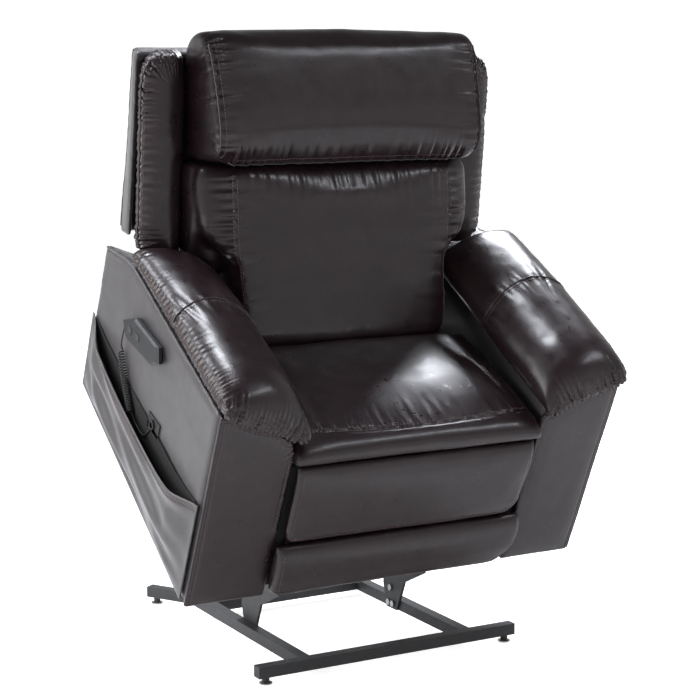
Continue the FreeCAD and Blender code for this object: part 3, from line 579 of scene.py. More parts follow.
# twisted polyester, dark red-brown with a soft shine
THREAD = patterned("thread", (1400, 1, 0.5, (1, 1, 1)),
                   ((0.075, 0.045, 0.042), (0.19, 0.125, 0.115)), (0.4, 0.6), (0.0003, 0.5))
LEATHER = leather("leather_espresso", (0.0130, 0.0060, 0.0072), (0.0235, 0.0120, 0.0142))
# the side covers' leather: the same espresso leather, its colour made lighter as a painted reflection of the
# bright studio at the chair's sides
SIDE_LEATHER_PAINTED_REFLECTION = leather("leather_side_painted_reflection", (0.027, 0.022, 0.024), (0.040, 0.034, 0.036), 0.42, 0.4, 0.25)
# the arm boxes' leather: the same painted reflection outside, and a painted shade, the near-black inner
# colour, on the faces towards the seat
ARM_LEATHER_PAINTED_REFLECTION_AND_SHADE = leather("leather_arm_side", (0.027, 0.022, 0.024), (0.040, 0.034, 0.036), 0.42, 0.4, 0.25,
                      (0.006, 0.004, 0.005))
SEAM_LEATHER = leather("leather_seam", (0.008, 0.006, 0.006), (0.014, 0.010, 0.010), 0.4, 0.4)
WRAPPED_NODES = ("footrest_board", "seat_box_frame", "back_frame")
SLOT_MATERIALS = {
    "black_steel": painted_metal("coated_steel", (0.007, 0.007, 0.008), 0.5),
    "zinc_steel": brushed_metal("zinc_plate", (0.55, 0.55, 0.56), 0.36),
    "spring_steel": brushed_metal("spring_wire", (0.30, 0.29, 0.28), 0.4),
    "polished_rod": brushed_metal("rod_steel", (0.72, 0.72, 0.73), 0.16),
    "grey_tube": brushed_metal("actuator_tube", (0.45, 0.46, 0.48), 0.34),
    "nickel": brushed_metal("nickel_plate", (0.66, 0.64, 0.60), 0.22),
    "black_plastic": moulded_plastic("housing_plastic", (0.016, 0.016, 0.017), 0.5),
    "handset_plastic": moulded_plastic("handset_shell", (0.010, 0.0105, 0.013), 0.42),
    "button_rubber": moulded_plastic("button_cap", (0.010, 0.010, 0.011), 0.6),
    "plywood": PLYWOOD,
    "leather": LEATHER,
    "side_leather": SIDE_LEATHER_PAINTED_REFLECTION,
}


def paint(piece, material):
    piece.data.materials.clear()
    piece.data.materials.append(material)
    return piece


def cover(piece, node, body, material=LEATHER):
    """Shows the piece in place of a CAD node, on that node's body."""
    paint(piece, material)
    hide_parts(node)
    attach(piece, body)


def sew(name, surface, lines, body):
    """Stitches along lines on a cover."""
    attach(paint(stitches(name, surface, lines), THREAD), body)


def pipe(name, surface, line, body, radius=2.4, material=SEAM_LEATHER):
    """A welt along a line on a cover."""
    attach(paint(welt(name, surface, line, radius), material), body)


def dress_frame():
    """Gives every carried-over CAD node the node material of its slot."""
    for obj in frame["nodes"].values():
        for holder in obj.material_slots:
            base = holder.material.name.split(".")[0] if holder.material else ""
            if base in SLOT_MATERIALS:
                holder.material = SLOT_MATERIALS[base]
    for node in WRAPPED_NODES:
        for holder in frame["nodes"][node].material_slots:
            holder.material = BLACK_CLOTH_AND_SHADOW


# ---- headrest -----------------------------------------------------------------------
# the headrest's section: y and z round it, from its lower front edge over the top
HEAD_PROFILE = [(128, 800), (115, 811), (107, 830), (105, 852), (114, 886), (141, 930), (174, 976),
                (204, 1018), (227, 1046), (249, 1060), (274, 1060), (305, 1042), (328, 1012),
                (338, 970), (332, 922), (322, 870), (312, 820), (300, 745), (240, 762), (180, 783)]
HEAD_DROOP = 15.0           # the headrest's top is lower at its ends than in the middle
CORNER_RISE = 20.0          # its face's lower corners are rounded


def head_half(z):
    """The headrest is wider at its top than at its bottom seam."""
    return HEADREST_LOW + (HEADREST_HIGH - HEADREST_LOW) * np.clip((z - 801) / 240, 0, 1)


def head_ring(share, inset):
    profile = curve_through(HEAD_PROFILE, 120, closed=True)
    middle = profile.mean(0)
    away = profile - middle
    size = np.linalg.norm(away, axis=1, keepdims=True)
    profile = middle + away * (size - inset) / size
    droop = HEAD_DROOP * share ** 4 * np.clip((profile[:, 1] - 980) / 80, 0, 1)
    corner = CORNER_RISE * np.clip((abs(share) - 0.88) / 0.12, 0, 1) ** 2
    rise = corner * np.clip((870 - profile[:, 1]) / 60, 0, 1) * np.clip((190 - profile[:, 0]) / 50, 0, 1)
    return np.stack([share * head_half(profile[:, 1]), profile[:, 0], profile[:, 1] - droop + rise], 1)


def head_edge(sign, inset=4.0):
    """The seam between the headrest's face and its end, from the bottom over the top."""
    rows = [(118, 828), (109, 852), (117, 886), (144, 930), (177, 976), (206, 1010), (232, 1034)]
    return [(sign * (head_half(z) - inset), y, z) for y, z in rows]


def make_headrest():
    shares = [-1.0, -0.985, -0.96, -0.92, -0.8, 0.0, 0.8, 0.92, 0.96, 0.985, 1.0]
    insets = [14.0, 7.0, 3.0, 4.0, 4.0, 4.0, 4.0, 4.0, 3.0, 7.0, 14.0]
    piece = loft("headrest_cover", [head_ring(s, i) for s, i in zip(shares, insets)])
    remesh(piece)
    bottom = [(x, 128, 803) for x in (-285, -150, 0, 150, 285)]
    seams = [head_edge(1), head_edge(-1), bottom]

    def held(points):
        firm = close_to(points, seams, 12)
        back = np.clip((points[:, 1] - (0.5 * (points[:, 2] - 800) + 205)) / 30, 0, 1)
        return np.maximum(firm, back * (points[:, 2] < 1030))

    inflate(piece, held, 5.0, 15.0)
    subdivide(piece)
    undulate(piece, 1.5, 110, 3)
    for seam in (head_edge(1, 12), head_edge(-1, 12)):
        groove(piece, seam, 3.5, 4.0)
        gathers(piece, seam, 24, 1.6, 34, 11)
    under = [(x, 116, 815) for x in (-285, -150, 0, 150, 285)]
    gathers(piece, under, 17, 3.6, 42, 5, ends=0.28)
    gathers(piece, under, 29, 1.0, 40, 6)
    folded = [(-326, 244, 1058), (-318, 226, 1042), (-322, 206, 1018)]
    gathers(piece, folded, 11, 4.0, 20, 8)
    cover(piece, "headrest_cushion", "back")
    rows = [head_edge(1, 19), head_edge(-1, 19), [(x, 111, 820) for x in (-280, -150, 0, 150, 280)]]
    sew("headrest_stitches", piece, rows, "back")
    for sign, side in SIDES:
        pipe(side + "_headrest_welt", piece, head_edge(sign, 6), "back", 2.2)
    low = [(x, 121, 806) for x in (-288, -150, 0, 150, 288)]
    pipe("headrest_bottom_welt", piece, low, "back", 2.2)


# ---- back cushion -------------------------------------------------------------------
# height, front, half width in front, where the cushion steps out behind the arm pads,
# half width there, rear
BACK_LEVELS = [
    (424, -30, 252, 60, 256, 150), (436, -38, 256, 70, 260, 158), (455, -42, 260, 80, 264, 168),
    (480, -40, 262, 90, 266, 178), (535, -12, 264, 125, 268, 190), (545, -7, 264, 132, 316, 193),
    (556, -1, 264, 132, 330, 196), (572, 9, 265, 134, 335, 202), (592, 20, 266, 134, 336, 208),
    (608, 28, 270, 134, 336, 213), (626, 37, 298, 136, 337, 219), (645, 46, 321, 137, 338, 226),
    (668, 58, 331, 139, 338, 232), (690, 68, 334, 144, 338, 240), (715, 80, 335, 156, 339, 246),
    (765, 104, 336, 176, 339, 260), (784, 114, 336, 182, 338, 264), (796, 132, 334, 190, 336, 268)]


def back_ring(level):
    z, front, half, step, wide, rear = level
    narrow = min(half, PANEL_SEAM_X + 4)
    side = [(wide, rear), (wide, step + 16), (wide - 8, step), (half, step - 12), (half - 2, front + 52),
            (half - 10, front + 34), (0.5 * (half + narrow) - 8, front + 22), (narrow - 16, front + 11),
            (narrow - 50, front + 4)]
    right = side + [(110, front + 1)]
    loop = right + [(0, front)] + [(-x, y) for x, y in reversed(right)]
    shoulder = 0.38 * min(max((z - 700) / 84, 0), 1)
    return [(x, y, z - shoulder * min(max(y - front - 12, 0), 150)) for x, y in loop]


def back_seam(sign, offset=0.0):
    rows = [(level[0], level[1]) for level in BACK_LEVELS if 440 < level[0] < 790]
    return [(sign * (min(PANEL_SEAM_X, 251 + 0.08 * (z - 455)) + offset), front + 10, z) for z, front in rows]


def make_back_cushion():
    piece = loft("back_cover", [back_ring(level) for level in BACK_LEVELS])
    remesh(piece, VOXEL, 16)
    seams = [back_seam(1), back_seam(-1)]

    def held(points):
        firm = close_to(points, seams, 9)
        rear = np.clip((points[:, 1] - (0.281 * (points[:, 2] - 420) + 130)) / 30, 0, 1)
        low = np.clip((500 - points[:, 2]) / 30, 0, 1)
        return np.maximum(np.maximum(firm, rear), low)

    inflate(piece, held, 4.0, 13.0)
    subdivide(piece)
    undulate(piece, 1.6, 120, 9)
    for sign in (1, -1):
        groove(piece, back_seam(sign), 4.0, 3.5)
        outward = (lambda p, s=sign: np.clip((s * p[:, 0] - 262) / 8, 0, 1))
        gathers(piece, back_seam(sign), 21, 3.2, 34, 31 + sign, outward)
        gathers(piece, back_seam(sign), 34, 1.0, 46, 41 + sign)
    top = [(x, 110, 781) for x in (-250, -120, 0, 120, 250)]
    gathers(piece, top, 26, 1.2, 34, 21)
    paint(piece, LEATHER)
    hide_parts("back_cushion")
    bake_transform(piece)
    rows = [back_seam(s, o) for s in (1, -1) for o in (-5, 5)]
    thread = paint(stitches("back_stitches", piece, rows), THREAD)
    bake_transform(thread)


# ---- wings --------------------------------------------------------------------------
WING_LEVELS = [(0.0, 24, 18), (0.02, 11, 8), (0.06, 2, 2), (0.2, 0, 0), (0.5, 0, 0), (0.8, 0, 0),
               (0.88, 3, 3), (0.94, 11, 7), (0.975, 24, 15), (1.0, 42, 26)]


def wing_frame(t):
    """Front and rear (y, z) of the wing at a share of its length."""
    front = np.array((150.0, 566.0)) * (1 - t) + np.array((290.0, 978.0)) * t
    rear = np.array((226.0, 562.0)) * (1 - t) + np.array((350.0, 974.0)) * t
    return front, rear


def wing_ring(t, outer_cut, crown_cut, sign):
    front, rear = wing_frame(t)
    depth = rear - front
    outer = WING_OUTER + 1 - outer_cut
    inner = WING_INNER - 15 + outer_cut * 0.15
    span = outer - inner
    shape = [(0.0, 1.0), (0.0, 0.6), (0.03, 0.4), (0.1, 0.22), (0.22, 0.08), (0.4, 0.0), (0.58, 0.02),
             (0.76, 0.11), (0.9, 0.25), (0.97, 0.37), (1.0, 0.48), (0.98, 0.7), (0.9, 1.0)]
    loop = curve_through(shape, 40)
    rows = []
    for u, v in loop:
        along = crown_cut / 90 + v * (1 - crown_cut / 90)
        y, z = front + depth * along
        rows.append((sign * (inner + span * u), y, z))
    return rows


def wing_edge(sign, inset, low=0.03, high=0.93):
    rows = []
    for t in np.linspace(low, high, 12):
        front, rear = wing_frame(t)
        cut = np.interp(t, [r[0] for r in WING_LEVELS], [r[1] for r in WING_LEVELS])
        y, z = front + (rear - front) * 0.42
        rows.append((sign * (WING_OUTER + 1 - cut - inset), y, z))
    return rows


def wing_top(sign):
    rows = []
    for u in np.linspace(0.1, 1.0, 8):
        t = 0.985 - 0.06 * u ** 3
        front, rear = wing_frame(t)
        y, z = front + (rear - front) * 0.3
        rows.append((sign * (WING_INNER + (WING_OUTER - WING_INNER - 14) * u), y, z))
    return rows


def make_wing(sign, side):
    piece = loft(side + "_wing_cover", [wing_ring(t, a, b, sign) for t, a, b in WING_LEVELS])
    remesh(piece, 0.005)

    def held(points):
        firm = close_to(points, [wing_edge(sign, 1), wing_top(sign)], 8)
        inner = np.clip((WING_INNER - 7 - sign * points[:, 0]) / 6, 0, 1)
        return np.maximum(firm, inner * 0.9)

    inflate(piece, held, 4.0, 9.0)
    subdivide(piece)
    undulate(piece, 1.4, 80, 4 + sign)
    groove(piece, wing_edge(sign, 1), 2.0, 3.0)
    gathers(piece, wing_top(sign), 9, 4.2, 30, 50 + sign)
    gathers(piece, wing_edge(sign, 2), 19, 1.8, 26, 60 + sign)
    gathers(piece, wing_edge(sign, 2, 0.68, 0.97), 9, 2.6, 22, 65 + sign)
    gathers(piece, wing_edge(sign, 2, 0.03, 0.16), 12, 2.4, 30, 70 + sign)
    cover(piece, side + "_wing", "back")
    sew(side + "_wing_stitches", piece, [wing_edge(sign, 13), wing_edge(sign, 18)], "back")
    pipe(side + "_wing_welt", piece, wing_edge(sign, 1, 0.02, 0.97), "back")


# ---- outer back ---------------------------------------------------------------------
SHELL_TAPER = 20.0          # how far the shell's sides draw in at the rear
SHELL_CORNER_DROP = 30.0
SHELL_TOP_DROP = 9.0


def shell_rear(z):
    return 310 + 0.205 * (z - 560)


def shape_shell(piece):
    """Draws the sides in towards the rear and lets their lower rear corners down."""
    points = to_seat(coordinates(piece.data))
    x, y, z = points.T
    depth = np.clip((y - (shell_rear(z) - 90)) / 90, 0, 1)
    side = np.clip((np.abs(x) - 300) / 100, 0, 1)
    low = np.clip((700 - z) / 110, 0, 1) * side
    points[:, 0] -= np.sign(x) * SHELL_TAPER * depth * side
    points[:, 2] -= SHELL_CORNER_DROP * depth * low + SHELL_TOP_DROP * np.clip((z - 800) / 150, 0, 1)
    set_coordinates(piece.data, to_row(points))


def make_back_shell():
    piece = from_node("outer_back_cover", "back_shell", 0.006, 6)
    shape_shell(piece)
    subdivide(piece)
    undulate(piece, 1.2, 140, 7)
    for sign in (1, -1):
        groove(piece, [(sign * 150, shell_rear(z), z) for z in (310, 500, 750, 962)], 1.8, 3.0)
    cover(piece, "back_shell", "back", SIDE_LEATHER_PAINTED_REFLECTION)
    rows = [[(sign * (150 + o), shell_rear(z), z) for z in (312, 500, 750, 960)]
            for sign in (1, -1) for o in (-5, 5)]
    rows.append([(x, shell_rear(958), 958) for x in (-425, -200, 0, 200, 425)])
    sew("outer_back_stitches", piece, rows, "back")
    for sign, side in SIDES:
        edge = [(sign * (440 - SHELL_TAPER), shell_rear(z) - 3, z) for z in (572, 700, 850, 955)]
        pipe(side + "_outer_back_welt", piece, edge, "back")


# ---- seat ---------------------------------------------------------------------------
# the seat's section: y and z round it, from under the bullnose over the top
SEAT_PROFILE = [(-388, 396), (-400, 397), (-408, 402), (-412, 413), (-409, 426), (-395, 439),
                (-370, 448), (-300, 459), (-200, 464), (-120, 465), (-60, 464), (-44, 458),
                (-42, 430), (-44, 356), (-200, 354), (-345, 354), (-374, 388)]
# x and the share of the crown's full height there
SEAT_CROWN = [(-299, 0.74), (-294, 0.84), (-280, 0.92), (-240, 0.965), (-150, 0.985), (0, 1.0), (150, 0.985),
              (240, 0.965), (280, 0.92), (294, 0.84), (299, 0.74)]
SEAM_Y, SEAM_BOW = -352.0, 20.0
SEAM_HALF = 292.0


def seam_line(x):
    """Where the seat's front seam runs, bowed forward in the middle."""
    return SEAM_Y - SEAM_BOW * np.cos(x / SEAM_HALF * math.pi / 2)


def seat_front_seam(dy=0.0, dz=0.0):
    rows = []
    for x in (-292, -240, -150, -60, 0, 60, 150, 240, 292):
        crown = np.interp(x, [r[0] for r in SEAT_CROWN], [r[1] for r in SEAT_CROWN])
        y = seam_line(x)
        rows.append((x, y + dy, 354 + (95 + 0.16 * (y + 365)) * crown + dz))
    return rows


def make_seat():
    profile = curve_through(SEAT_PROFILE, 110, closed=True)
    rings = []
    for x, crown in SEAT_CROWN:
        rings.append([(x, y, z - (1 - crown) * 110 * min(max((z - 402) / 60, 0), 1)) for y, z in profile])
    piece = loft("seat_cover", rings)
    remesh(piece)
    seam = seat_front_seam()

    def held(points):
        firm = close_to(points, [seam], 10)
        under = np.clip((396 - points[:, 2]) / 8, 0, 1)
        rear = np.clip((points[:, 1] + 100) / 30, 0, 1)
        return np.maximum(np.maximum(firm, under), rear)

    inflate(piece, held, 5.0, 20.0)
    subdivide(piece)
    undulate(piece, 1.4, 130, 12)
    groove(piece, seam, 3.4, 3.5)
    behind = (lambda p: np.clip((p[:, 1] - seam_line(p[:, 0])) / 5, 0, 1))
    gathers(piece, seam, 7.5, 2.2, 13, 14, behind)
    gathers(piece, seam, 31, 1.3, 46, 15, behind)
    cover(piece, "seat_cushion", "carriage")
    sew("seat_stitches", piece, [seat_front_seam(7, 2)], "carriage")


# ---- arms ---------------------------------------------------------------------------
# y and the share of the pad's full height there
PAD_STATIONS = [(-421, 0.16), (-417, 0.36), (-408, 0.6), (-392, 0.8), (-366, 0.94), (-325, 1.0),
                (-200, 1.0), (-95, 0.98), (-20, 0.9), (60, 0.78), (100, 0.68), (116, 0.58), (122, 0.48)]
# the pad's section: x and the height over the arm's top edge
PAD_SHAPE = [(479, 2), (482, 18), (471, 40), (444, 55), (404, 60), (360, 52), (316, 27),
             (286, -12), (278, -44), (287, -62), (304, -64), (318, -66), (345, -46), (410, -22)]


def pad_floor(x):
    """The pad's underside follows the arm's sloping top."""
    return np.interp(x, (276, 290, 318, 345, 480), (-56, -64, -67, -47, 2))


def pad_ring(y, crown, sign):
    loop = curve_through(PAD_SHAPE, 60, closed=True)
    top = arm_top(min(y, ARM_PEAK_Y)) + 3
    rows = []
    for x, z in loop:
        floor = pad_floor(x)
        rows.append((sign * x, y, top + floor + (z - floor) * crown + 1))
    return rows


def pad_side_seam(sign, height, start=-405.0, stop=118.0):
    ys = np.linspace(start, stop, 14)
    return [(sign * 481, y, arm_top(min(y, ARM_PEAK_Y)) + 3 + height) for y in ys]


def pad_front_seam(sign, height=10.0, y=-418.0):
    rows = []
    for x in (476, 450, 410, 370, 340, 310, 290):
        rows.append((sign * x, y, arm_top(-400) + 3 + pad_floor(x) + height))
    return rows


def pad_cross_seam(sign, dy=0.0):
    over = [(481, 14)] + PAD_SHAPE[2:9]
    rows = []
    for x, z in curve_through(over, 18):
        bow = 16 * math.sin((481 - x) / 202 * math.pi)
        y = PAD_CROSS_SEAM_Y + dy + bow
        rows.append((sign * x, y, arm_top(y) + 3 + z + 6))
    return rows


def make_arm_pad(sign, side):
    piece = loft(side + "_arm_pad_cover", [pad_ring(y, crown, sign) for y, crown in PAD_STATIONS])
    remesh(piece, VOXEL, 20)
    side_seam = pad_side_seam(sign, 8)
    front_seam = pad_front_seam(sign)
    cross = pad_cross_seam(sign)

    def held(points):
        firm = close_to(points, [side_seam, front_seam, cross], 8)
        tops = np.array([arm_top(min(y, ARM_PEAK_Y)) for y in points[:, 1]])
        low = np.clip((tops + 8 + pad_floor(sign * points[:, 0]) - points[:, 2]) / 6, 0, 1)
        return np.maximum(firm, low)

    inflate(piece, held, 4.0, 12.0)
    subdivide(piece)
    undulate(piece, 1.6, 90, 22 + sign)
    groove(piece, cross, 3.2, 3.2)
    groove(piece, side_seam, 2.0, 3.0)
    inside = (lambda p: np.clip((478 - np.abs(p[:, 0])) / 26, 0.1, 1))
    gathers(piece, front_seam, 11, 5.4, 30, 80 + sign, inside)
    gathers(piece, front_seam, 7.5, 1.8, 10, 84 + sign, inside)
    gathers(piece, side_seam, 14, 1.5, 26, 90 + sign)
    gathers(piece, pad_side_seam(sign, 8, -405, -300), 10, 2.2, 30, 93 + sign)
    gathers(piece, cross, 27, 1.1, 34, 96 + sign)
    cover(piece, side + "_arm_pad", "carriage")
    rows = [pad_side_seam(sign, 22), pad_side_seam(sign, 27), pad_front_seam(sign, 18, -419),
            pad_cross_seam(sign, -6)]
    sew(side + "_arm_pad_stitches", piece, rows, "carriage")
    pipe(side + "_arm_pad_welt", piece, pad_cross_seam(sign, 3), "carriage", 1.8)


PANEL_REACH = 11.0          # how far the front panels' covers wrap past the arm's inner edge


def panel_edge(sign, inset):
    """Line inside the front panel's outer and top edges, ending down its inner edge."""
    side = ARM_OUTER - inset
    rows = [(side, 70), (side, 300), (side, 516 - inset), (side - 9, 524 - inset), (430, 510 - inset),
            (345, 477 - inset), (324 + inset * 0.4, 456 - inset),
            (309 - PANEL_REACH + inset, 418), (309 - PANEL_REACH + inset, 240)]
    return [(sign * x, -390, z) for x, z in rows]


def make_arm_front(sign, side):
    piece = from_node(side + "_arm_front_cover", side + "_arm_front_panel", 0.004, 5)
    points = to_seat(coordinates(piece.data))
    points[:, 0] -= sign * PANEL_REACH * np.clip((326 - np.abs(points[:, 0])) / 10, 0, 1)
    set_coordinates(piece.data, to_row(points))

    def held(points):
        return np.clip((points[:, 1] + 384) / 4, 0, 1)

    inflate(piece, held, 1.2, 4.0, 20.0)
    subdivide(piece)
    undulate(piece, 1.0, 120, 32 + sign)
    groove(piece, panel_edge(sign, 11), 1.6, 2.6)
    gathers(piece, panel_edge(sign, 4)[3:8], 12, 1.0, 16, 34 + sign)
    cover(piece, side + "_arm_front_panel", "carriage")
    sew(side + "_arm_front_stitches", piece, [panel_edge(sign, 11)], "carriage")
    edge = [(sign * ARM_OUTER, -388, z) for z in (68, 200, 360, 524)]
    pipe(side + "_arm_front_welt", piece, edge, "carriage")


def make_arm_side(sign, side):
    piece = from_node(side + "_arm_side_cover", side + "_arm_box", 0.008, 5)
    subdivide(piece)
    undulate(piece, 1.8, 130, 42 + sign)
    cover(piece, side + "_arm_box", "carriage", ARM_LEATHER_PAINTED_REFLECTION_AND_SHADE)
    rim = [(sign * 478, y, arm_top(y) - 4) for y in np.linspace(-372, 250, 12)]
    pipe(side + "_arm_side_welt", piece, rim, "carriage", 3.0, SIDE_LEATHER_PAINTED_REFLECTION)


# ---- side pocket --------------------------------------------------------------------
SHADOW_RISE = 34.0          # how far the black sheet painting the shadow in the pocket's opening shows above the hem
SHADOW_DEPTH = 40.0         # and how far it reaches below
POCKET_FRONT, POCKET_LENGTH = -372.0, 622.0
HEM_CURVE = curve_through([(-372, 308), (-247, 285), (-35, 307), (137, 346), (250, 392)], 60)[:, 1]


def hem_height(u):
    return np.interp(u, np.linspace(0, 1, 60), HEM_CURVE)


def pocket_bulge(u, v):
    """How far the pouch stands off the arm; u along the chair, v from the bottom to the hem."""
    ends = np.clip(np.minimum(u, 1 - u) / 0.16, 0, 1)
    ends = ends * ends * (3 - 2 * ends)
    low = np.clip(v / 0.3, 0, 1)
    low = low * low * (3 - 2 * low)
    return 3.0 + ends * low * (11.0 + 12.0 * v)


def pocket_point(u, v, thick):
    y = POCKET_FRONT + POCKET_LENGTH * u
    bottom = arm_bottom(y) + 6
    z = bottom + (hem_height(u) - bottom) * v
    folds = 5.5 * math.sin(2 * math.pi * (2.1 * v + 0.9 * u + 0.12 * math.sin(7 * u))) * (0.4 + 0.6 * (1 - v))
    folds += 2.5 * math.sin(2 * math.pi * (3.3 * v - 1.7 * u + 0.3))
    window = min(1, min(u, 1 - u) / 0.12) * min(1, v / 0.12) * min(1, (1.02 - v) / 0.1)
    return (-ARM_OUTER - pocket_bulge(u, v) - folds * window - thick, y, z)


def closed_sheet(name, outer, inner):
    """A thin sheet with an outer and an inner face, each a grid of points."""
    rows = outer + inner[::-1]
    points = [p for row in rows for p in row]
    wide = len(rows[0])
    faces = []
    for r in range(len(rows)):
        s = (r + 1) % len(rows)
        for i in range(wide - 1):
            faces.append((r * wide + i, r * wide + i + 1, s * wide + i + 1, s * wide + i))
    faces.append(tuple(r * wide for r in range(len(rows))))
    faces.append(tuple(r * wide + wide - 1 for r in range(len(rows) - 1, -1, -1)))
    piece = new_piece(name, points, faces)
    fix_normals(piece)
    return smooth_shade(piece)


def shadow_sheet_point(u, v, thick):
    """A point of the black sheet that paints the shadow in the pocket's opening; it shows above the pocket's
    hem.
    """
    rise = SHADOW_RISE * math.sin(math.pi * u ** 0.85)
    z = hem_height(u) - SHADOW_DEPTH + (SHADOW_DEPTH + rise) * v
    return (-ARM_OUTER - 2.2 - thick, POCKET_FRONT + POCKET_LENGTH * u, z)


def make_pocket():
    across, up = 150, 64
    sheets = [[[pocket_point(i / across, j / up, t) for i in range(across + 1)] for j in range(up + 1)]
              for t in (2.2, 0.0)]
    piece = closed_sheet("side_pocket_cover", *sheets)
    hem, *rows = [[pocket_point(u, v, 3) for u in np.linspace(0.01, 0.99, 40)]
                  for v in (0.945, 0.93, 0.96)]
    groove(piece, hem, 1.6, 3.0)
    cover(piece, "side_pocket", "carriage", SIDE_LEATHER_PAINTED_REFLECTION)
    sew("side_pocket_stitches", piece, rows, "carriage")
    # painted shadow: a black sheet just off the arm's side along the hem stands for the shade inside the
    # pocket's opening
    grid = [[[shadow_sheet_point(0.02 + 0.96 * i / 60, j / 8, t) for i in range(61)] for j in range(9)]
            for t in (0.8, 0.0)]
    pocket_shadow = paint(closed_sheet("side_pocket_lining", *grid), BLACK_CLOTH_AND_SHADOW)
    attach(pocket_shadow, "carriage")


def make_skirt(sign, side):
    """Black cloth closing the gap between the arm's inside and the footrest."""
    grid = [[[(sign * x, y, z) for x in np.linspace(264.5, 310, 5)] for z in np.linspace(84, 386, 24)]
            for y in (-379.0, -377.8)]
    piece = paint(closed_sheet(side + "_front_skirt", *grid), BLACK_CLOTH_AND_SHADOW)
    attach(piece, "carriage")


# ---- cord ---------------------------------------------------------------------------
def make_cord():
    """Coiled cord hanging from the hand control, its lower end led behind the pocket's hem."""
    top = np.array((-ARM_OUTER - 10, 72.0, 398.0))
    low = np.array((-ARM_OUTER - 12, -23.0, 306.0))
    axis = low - top
    length = np.linalg.norm(axis)
    axis /= length
    across = np.array((1.0, 0.0, 0.0))
    up = np.cross(axis, across)
    turns = 24
    coil = []
    for k in range(turns * 14):
        share = k / (turns * 14 - 1)
        angle = 2 * math.pi * turns * share
        centre = top + axis * length * share + np.array((0, 0, -5.0)) * math.sin(math.pi * share)
        coil.append(centre + 6.0 * (math.cos(angle) * across + math.sin(angle) * up))
    lead = curve_through([(-ARM_OUTER - 13, 66, 462), (-ARM_OUTER - 12, 71, 440), (-ARM_OUTER - 11, 73, 415),
                          (-ARM_OUTER - 6, 73, 402)], 14)
    tail = curve_through([(-ARM_OUTER - 8, -24, 305), (-ARM_OUTER - 7, -50, 292), (-ARM_OUTER - 6, -90, 290),
                          (-ARM_OUTER - 6, -112, 318)], 18)
    piece = tubes_piece("coiled_cord", [coil, lead, tail], 1.7, 8)
    paint(piece, SLOT_MATERIALS["black_plastic"])
    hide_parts("coil_cord")
    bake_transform(piece)


# ---- footrest pads ------------------------------------------------------------------
def corner_cut(z, low, radius):
    """How far a rounded lower corner pulls the side in at a height."""
    rise = min(max(z - low, 0.0), radius)
    return radius - math.sqrt(max(0.0, radius * radius - (radius - rise) ** 2))


PAD_REAR = -393.5


def front_pad(name, levels, half, radius_left, radius_right):
    """A padded panel; levels are (height, front y), the lower corners rounded."""
    low = levels[0][0]
    rings = []
    for z, front in levels:
        left = half - corner_cut(z, low, radius_left)
        right = half - corner_cut(z, low, radius_right)
        depth = front - PAD_REAR
        edge = [(0, 0.0), (0, 0.45), (4, 0.8), (14, 0.97), (40, 1.0)]
        ring = [(left - x, PAD_REAR + depth * share, z) for x, share in edge] + [(0, front, z)]
        ring += [(x - right, PAD_REAR + depth * share, z) for x, share in reversed(edge)]
        rings.append(ring)
    return remesh(loft(name, rings), VOXEL, 5)


def border_side(half, low, high, inset, radius):
    """One side of a pad's stitched border: down from the top and round the lower corner."""
    middle = half - radius - inset
    rows = [(half - inset, high), (half - inset, low + radius + inset)]
    for degrees in (20, 45, 70):
        angle = math.radians(degrees)
        rows.append((middle + radius * math.cos(angle), low + inset + radius * (1 - math.sin(angle))))
    return rows + [(middle, low + inset)]


def pad_border(half, low, high, y, inset, radii):
    left, right = (border_side(half, low, high, inset, radius) for radius in radii)
    return [(x, y, z) for x, z in left] + [(-x, y, z) for x, z in reversed(right)]


def make_front_pad(name, node, levels, half, low, high, y, radii):
    piece = front_pad(name, levels, half, *radii)

    def held(points):
        return np.clip((points[:, 1] + 399) / 4, 0, 1)

    inflate(piece, held, 1.0, 3.0)
    subdivide(piece)
    undulate(piece, 1.2, 130, len(name))
    border = pad_border(half, low, high, y, 12, radii)
    groove(piece, border, 1.5, 2.6)
    cover(piece, node, "footrest")
    sew(name + "_stitches", piece, [border], "footrest")


def make_footrest():
    upper = [(207, -405), (210, -411), (218, -415), (240, -417), (330, -418), (356, -416), (374, -412),
             (386, -407), (393, -400)]
    make_front_pad("footrest_upper_cover", "footrest_upper_pad", upper, 289, 207, 380, -416, (60, 24))
    lower = [(80, -408), (84, -421), (94, -427), (130, -430), (165, -428), (186, -422), (198, -414),
             (204, -404)]
    make_front_pad("footrest_lower_cover", "footrest_lower_pad", lower, 300, 80, 192, -428, (78, 16))


# ---- studio -------------------------------------------------------------------------
CAMERA_PLACE = Vector((-2.014, -3.644, 1.298))
CAMERA_TARGET = Vector((0.0207, -0.0256, 0.6557))
CAMERA_LENS = 97.2          # on a 36 mm sensor
BACKDROP = 1.1
FLOOR_GLOW = 0.82           # keeps the floor the camera sees as pale as the backdrop
ROOM_LOW, ROOM_MIDDLE, ROOM_HIGH = 0.85, 0.42, 0.12


def make_floor():
    points, faces = [], []
    count, half = 8, 14.0
    for j in range(count + 1):
        for i in range(count + 1):
            points.append((-half + 2 * half * i / count, -half + 2 * half * j / count, 0.0))
    for j in range(count):
        for i in range(count):
            a = j * (count + 1) + i
            faces.append((a, a + 1, a + count + 2, a + count + 1))
    mesh = bpy.data.meshes.new("studio_floor")
    mesh.from_pydata(points, [], faces)
    floor = bpy.data.objects.new("studio_floor", mesh)
    SCENE.collection.objects.link(floor)
    n = Nodes("studio_white")
    n.link(n.mix_colour(n.noise(3, 2), (0.86, 0.86, 0.86), (0.9, 0.9, 0.9)), n.bsdf.inputs["Base Color"])
    n.bsdf.inputs["Roughness"].default_value = 0.9
    n.bsdf.inputs["Emission Color"].default_value = (1, 1, 1, 1)
    seen = n.add("ShaderNodeLightPath").outputs["Is Camera Ray"]
    n.link(n.span(seen, 0.0, 1.0, 0.12, FLOOR_GLOW), n.bsdf.inputs["Emission Strength"])
    floor.data.materials.append(n.material)


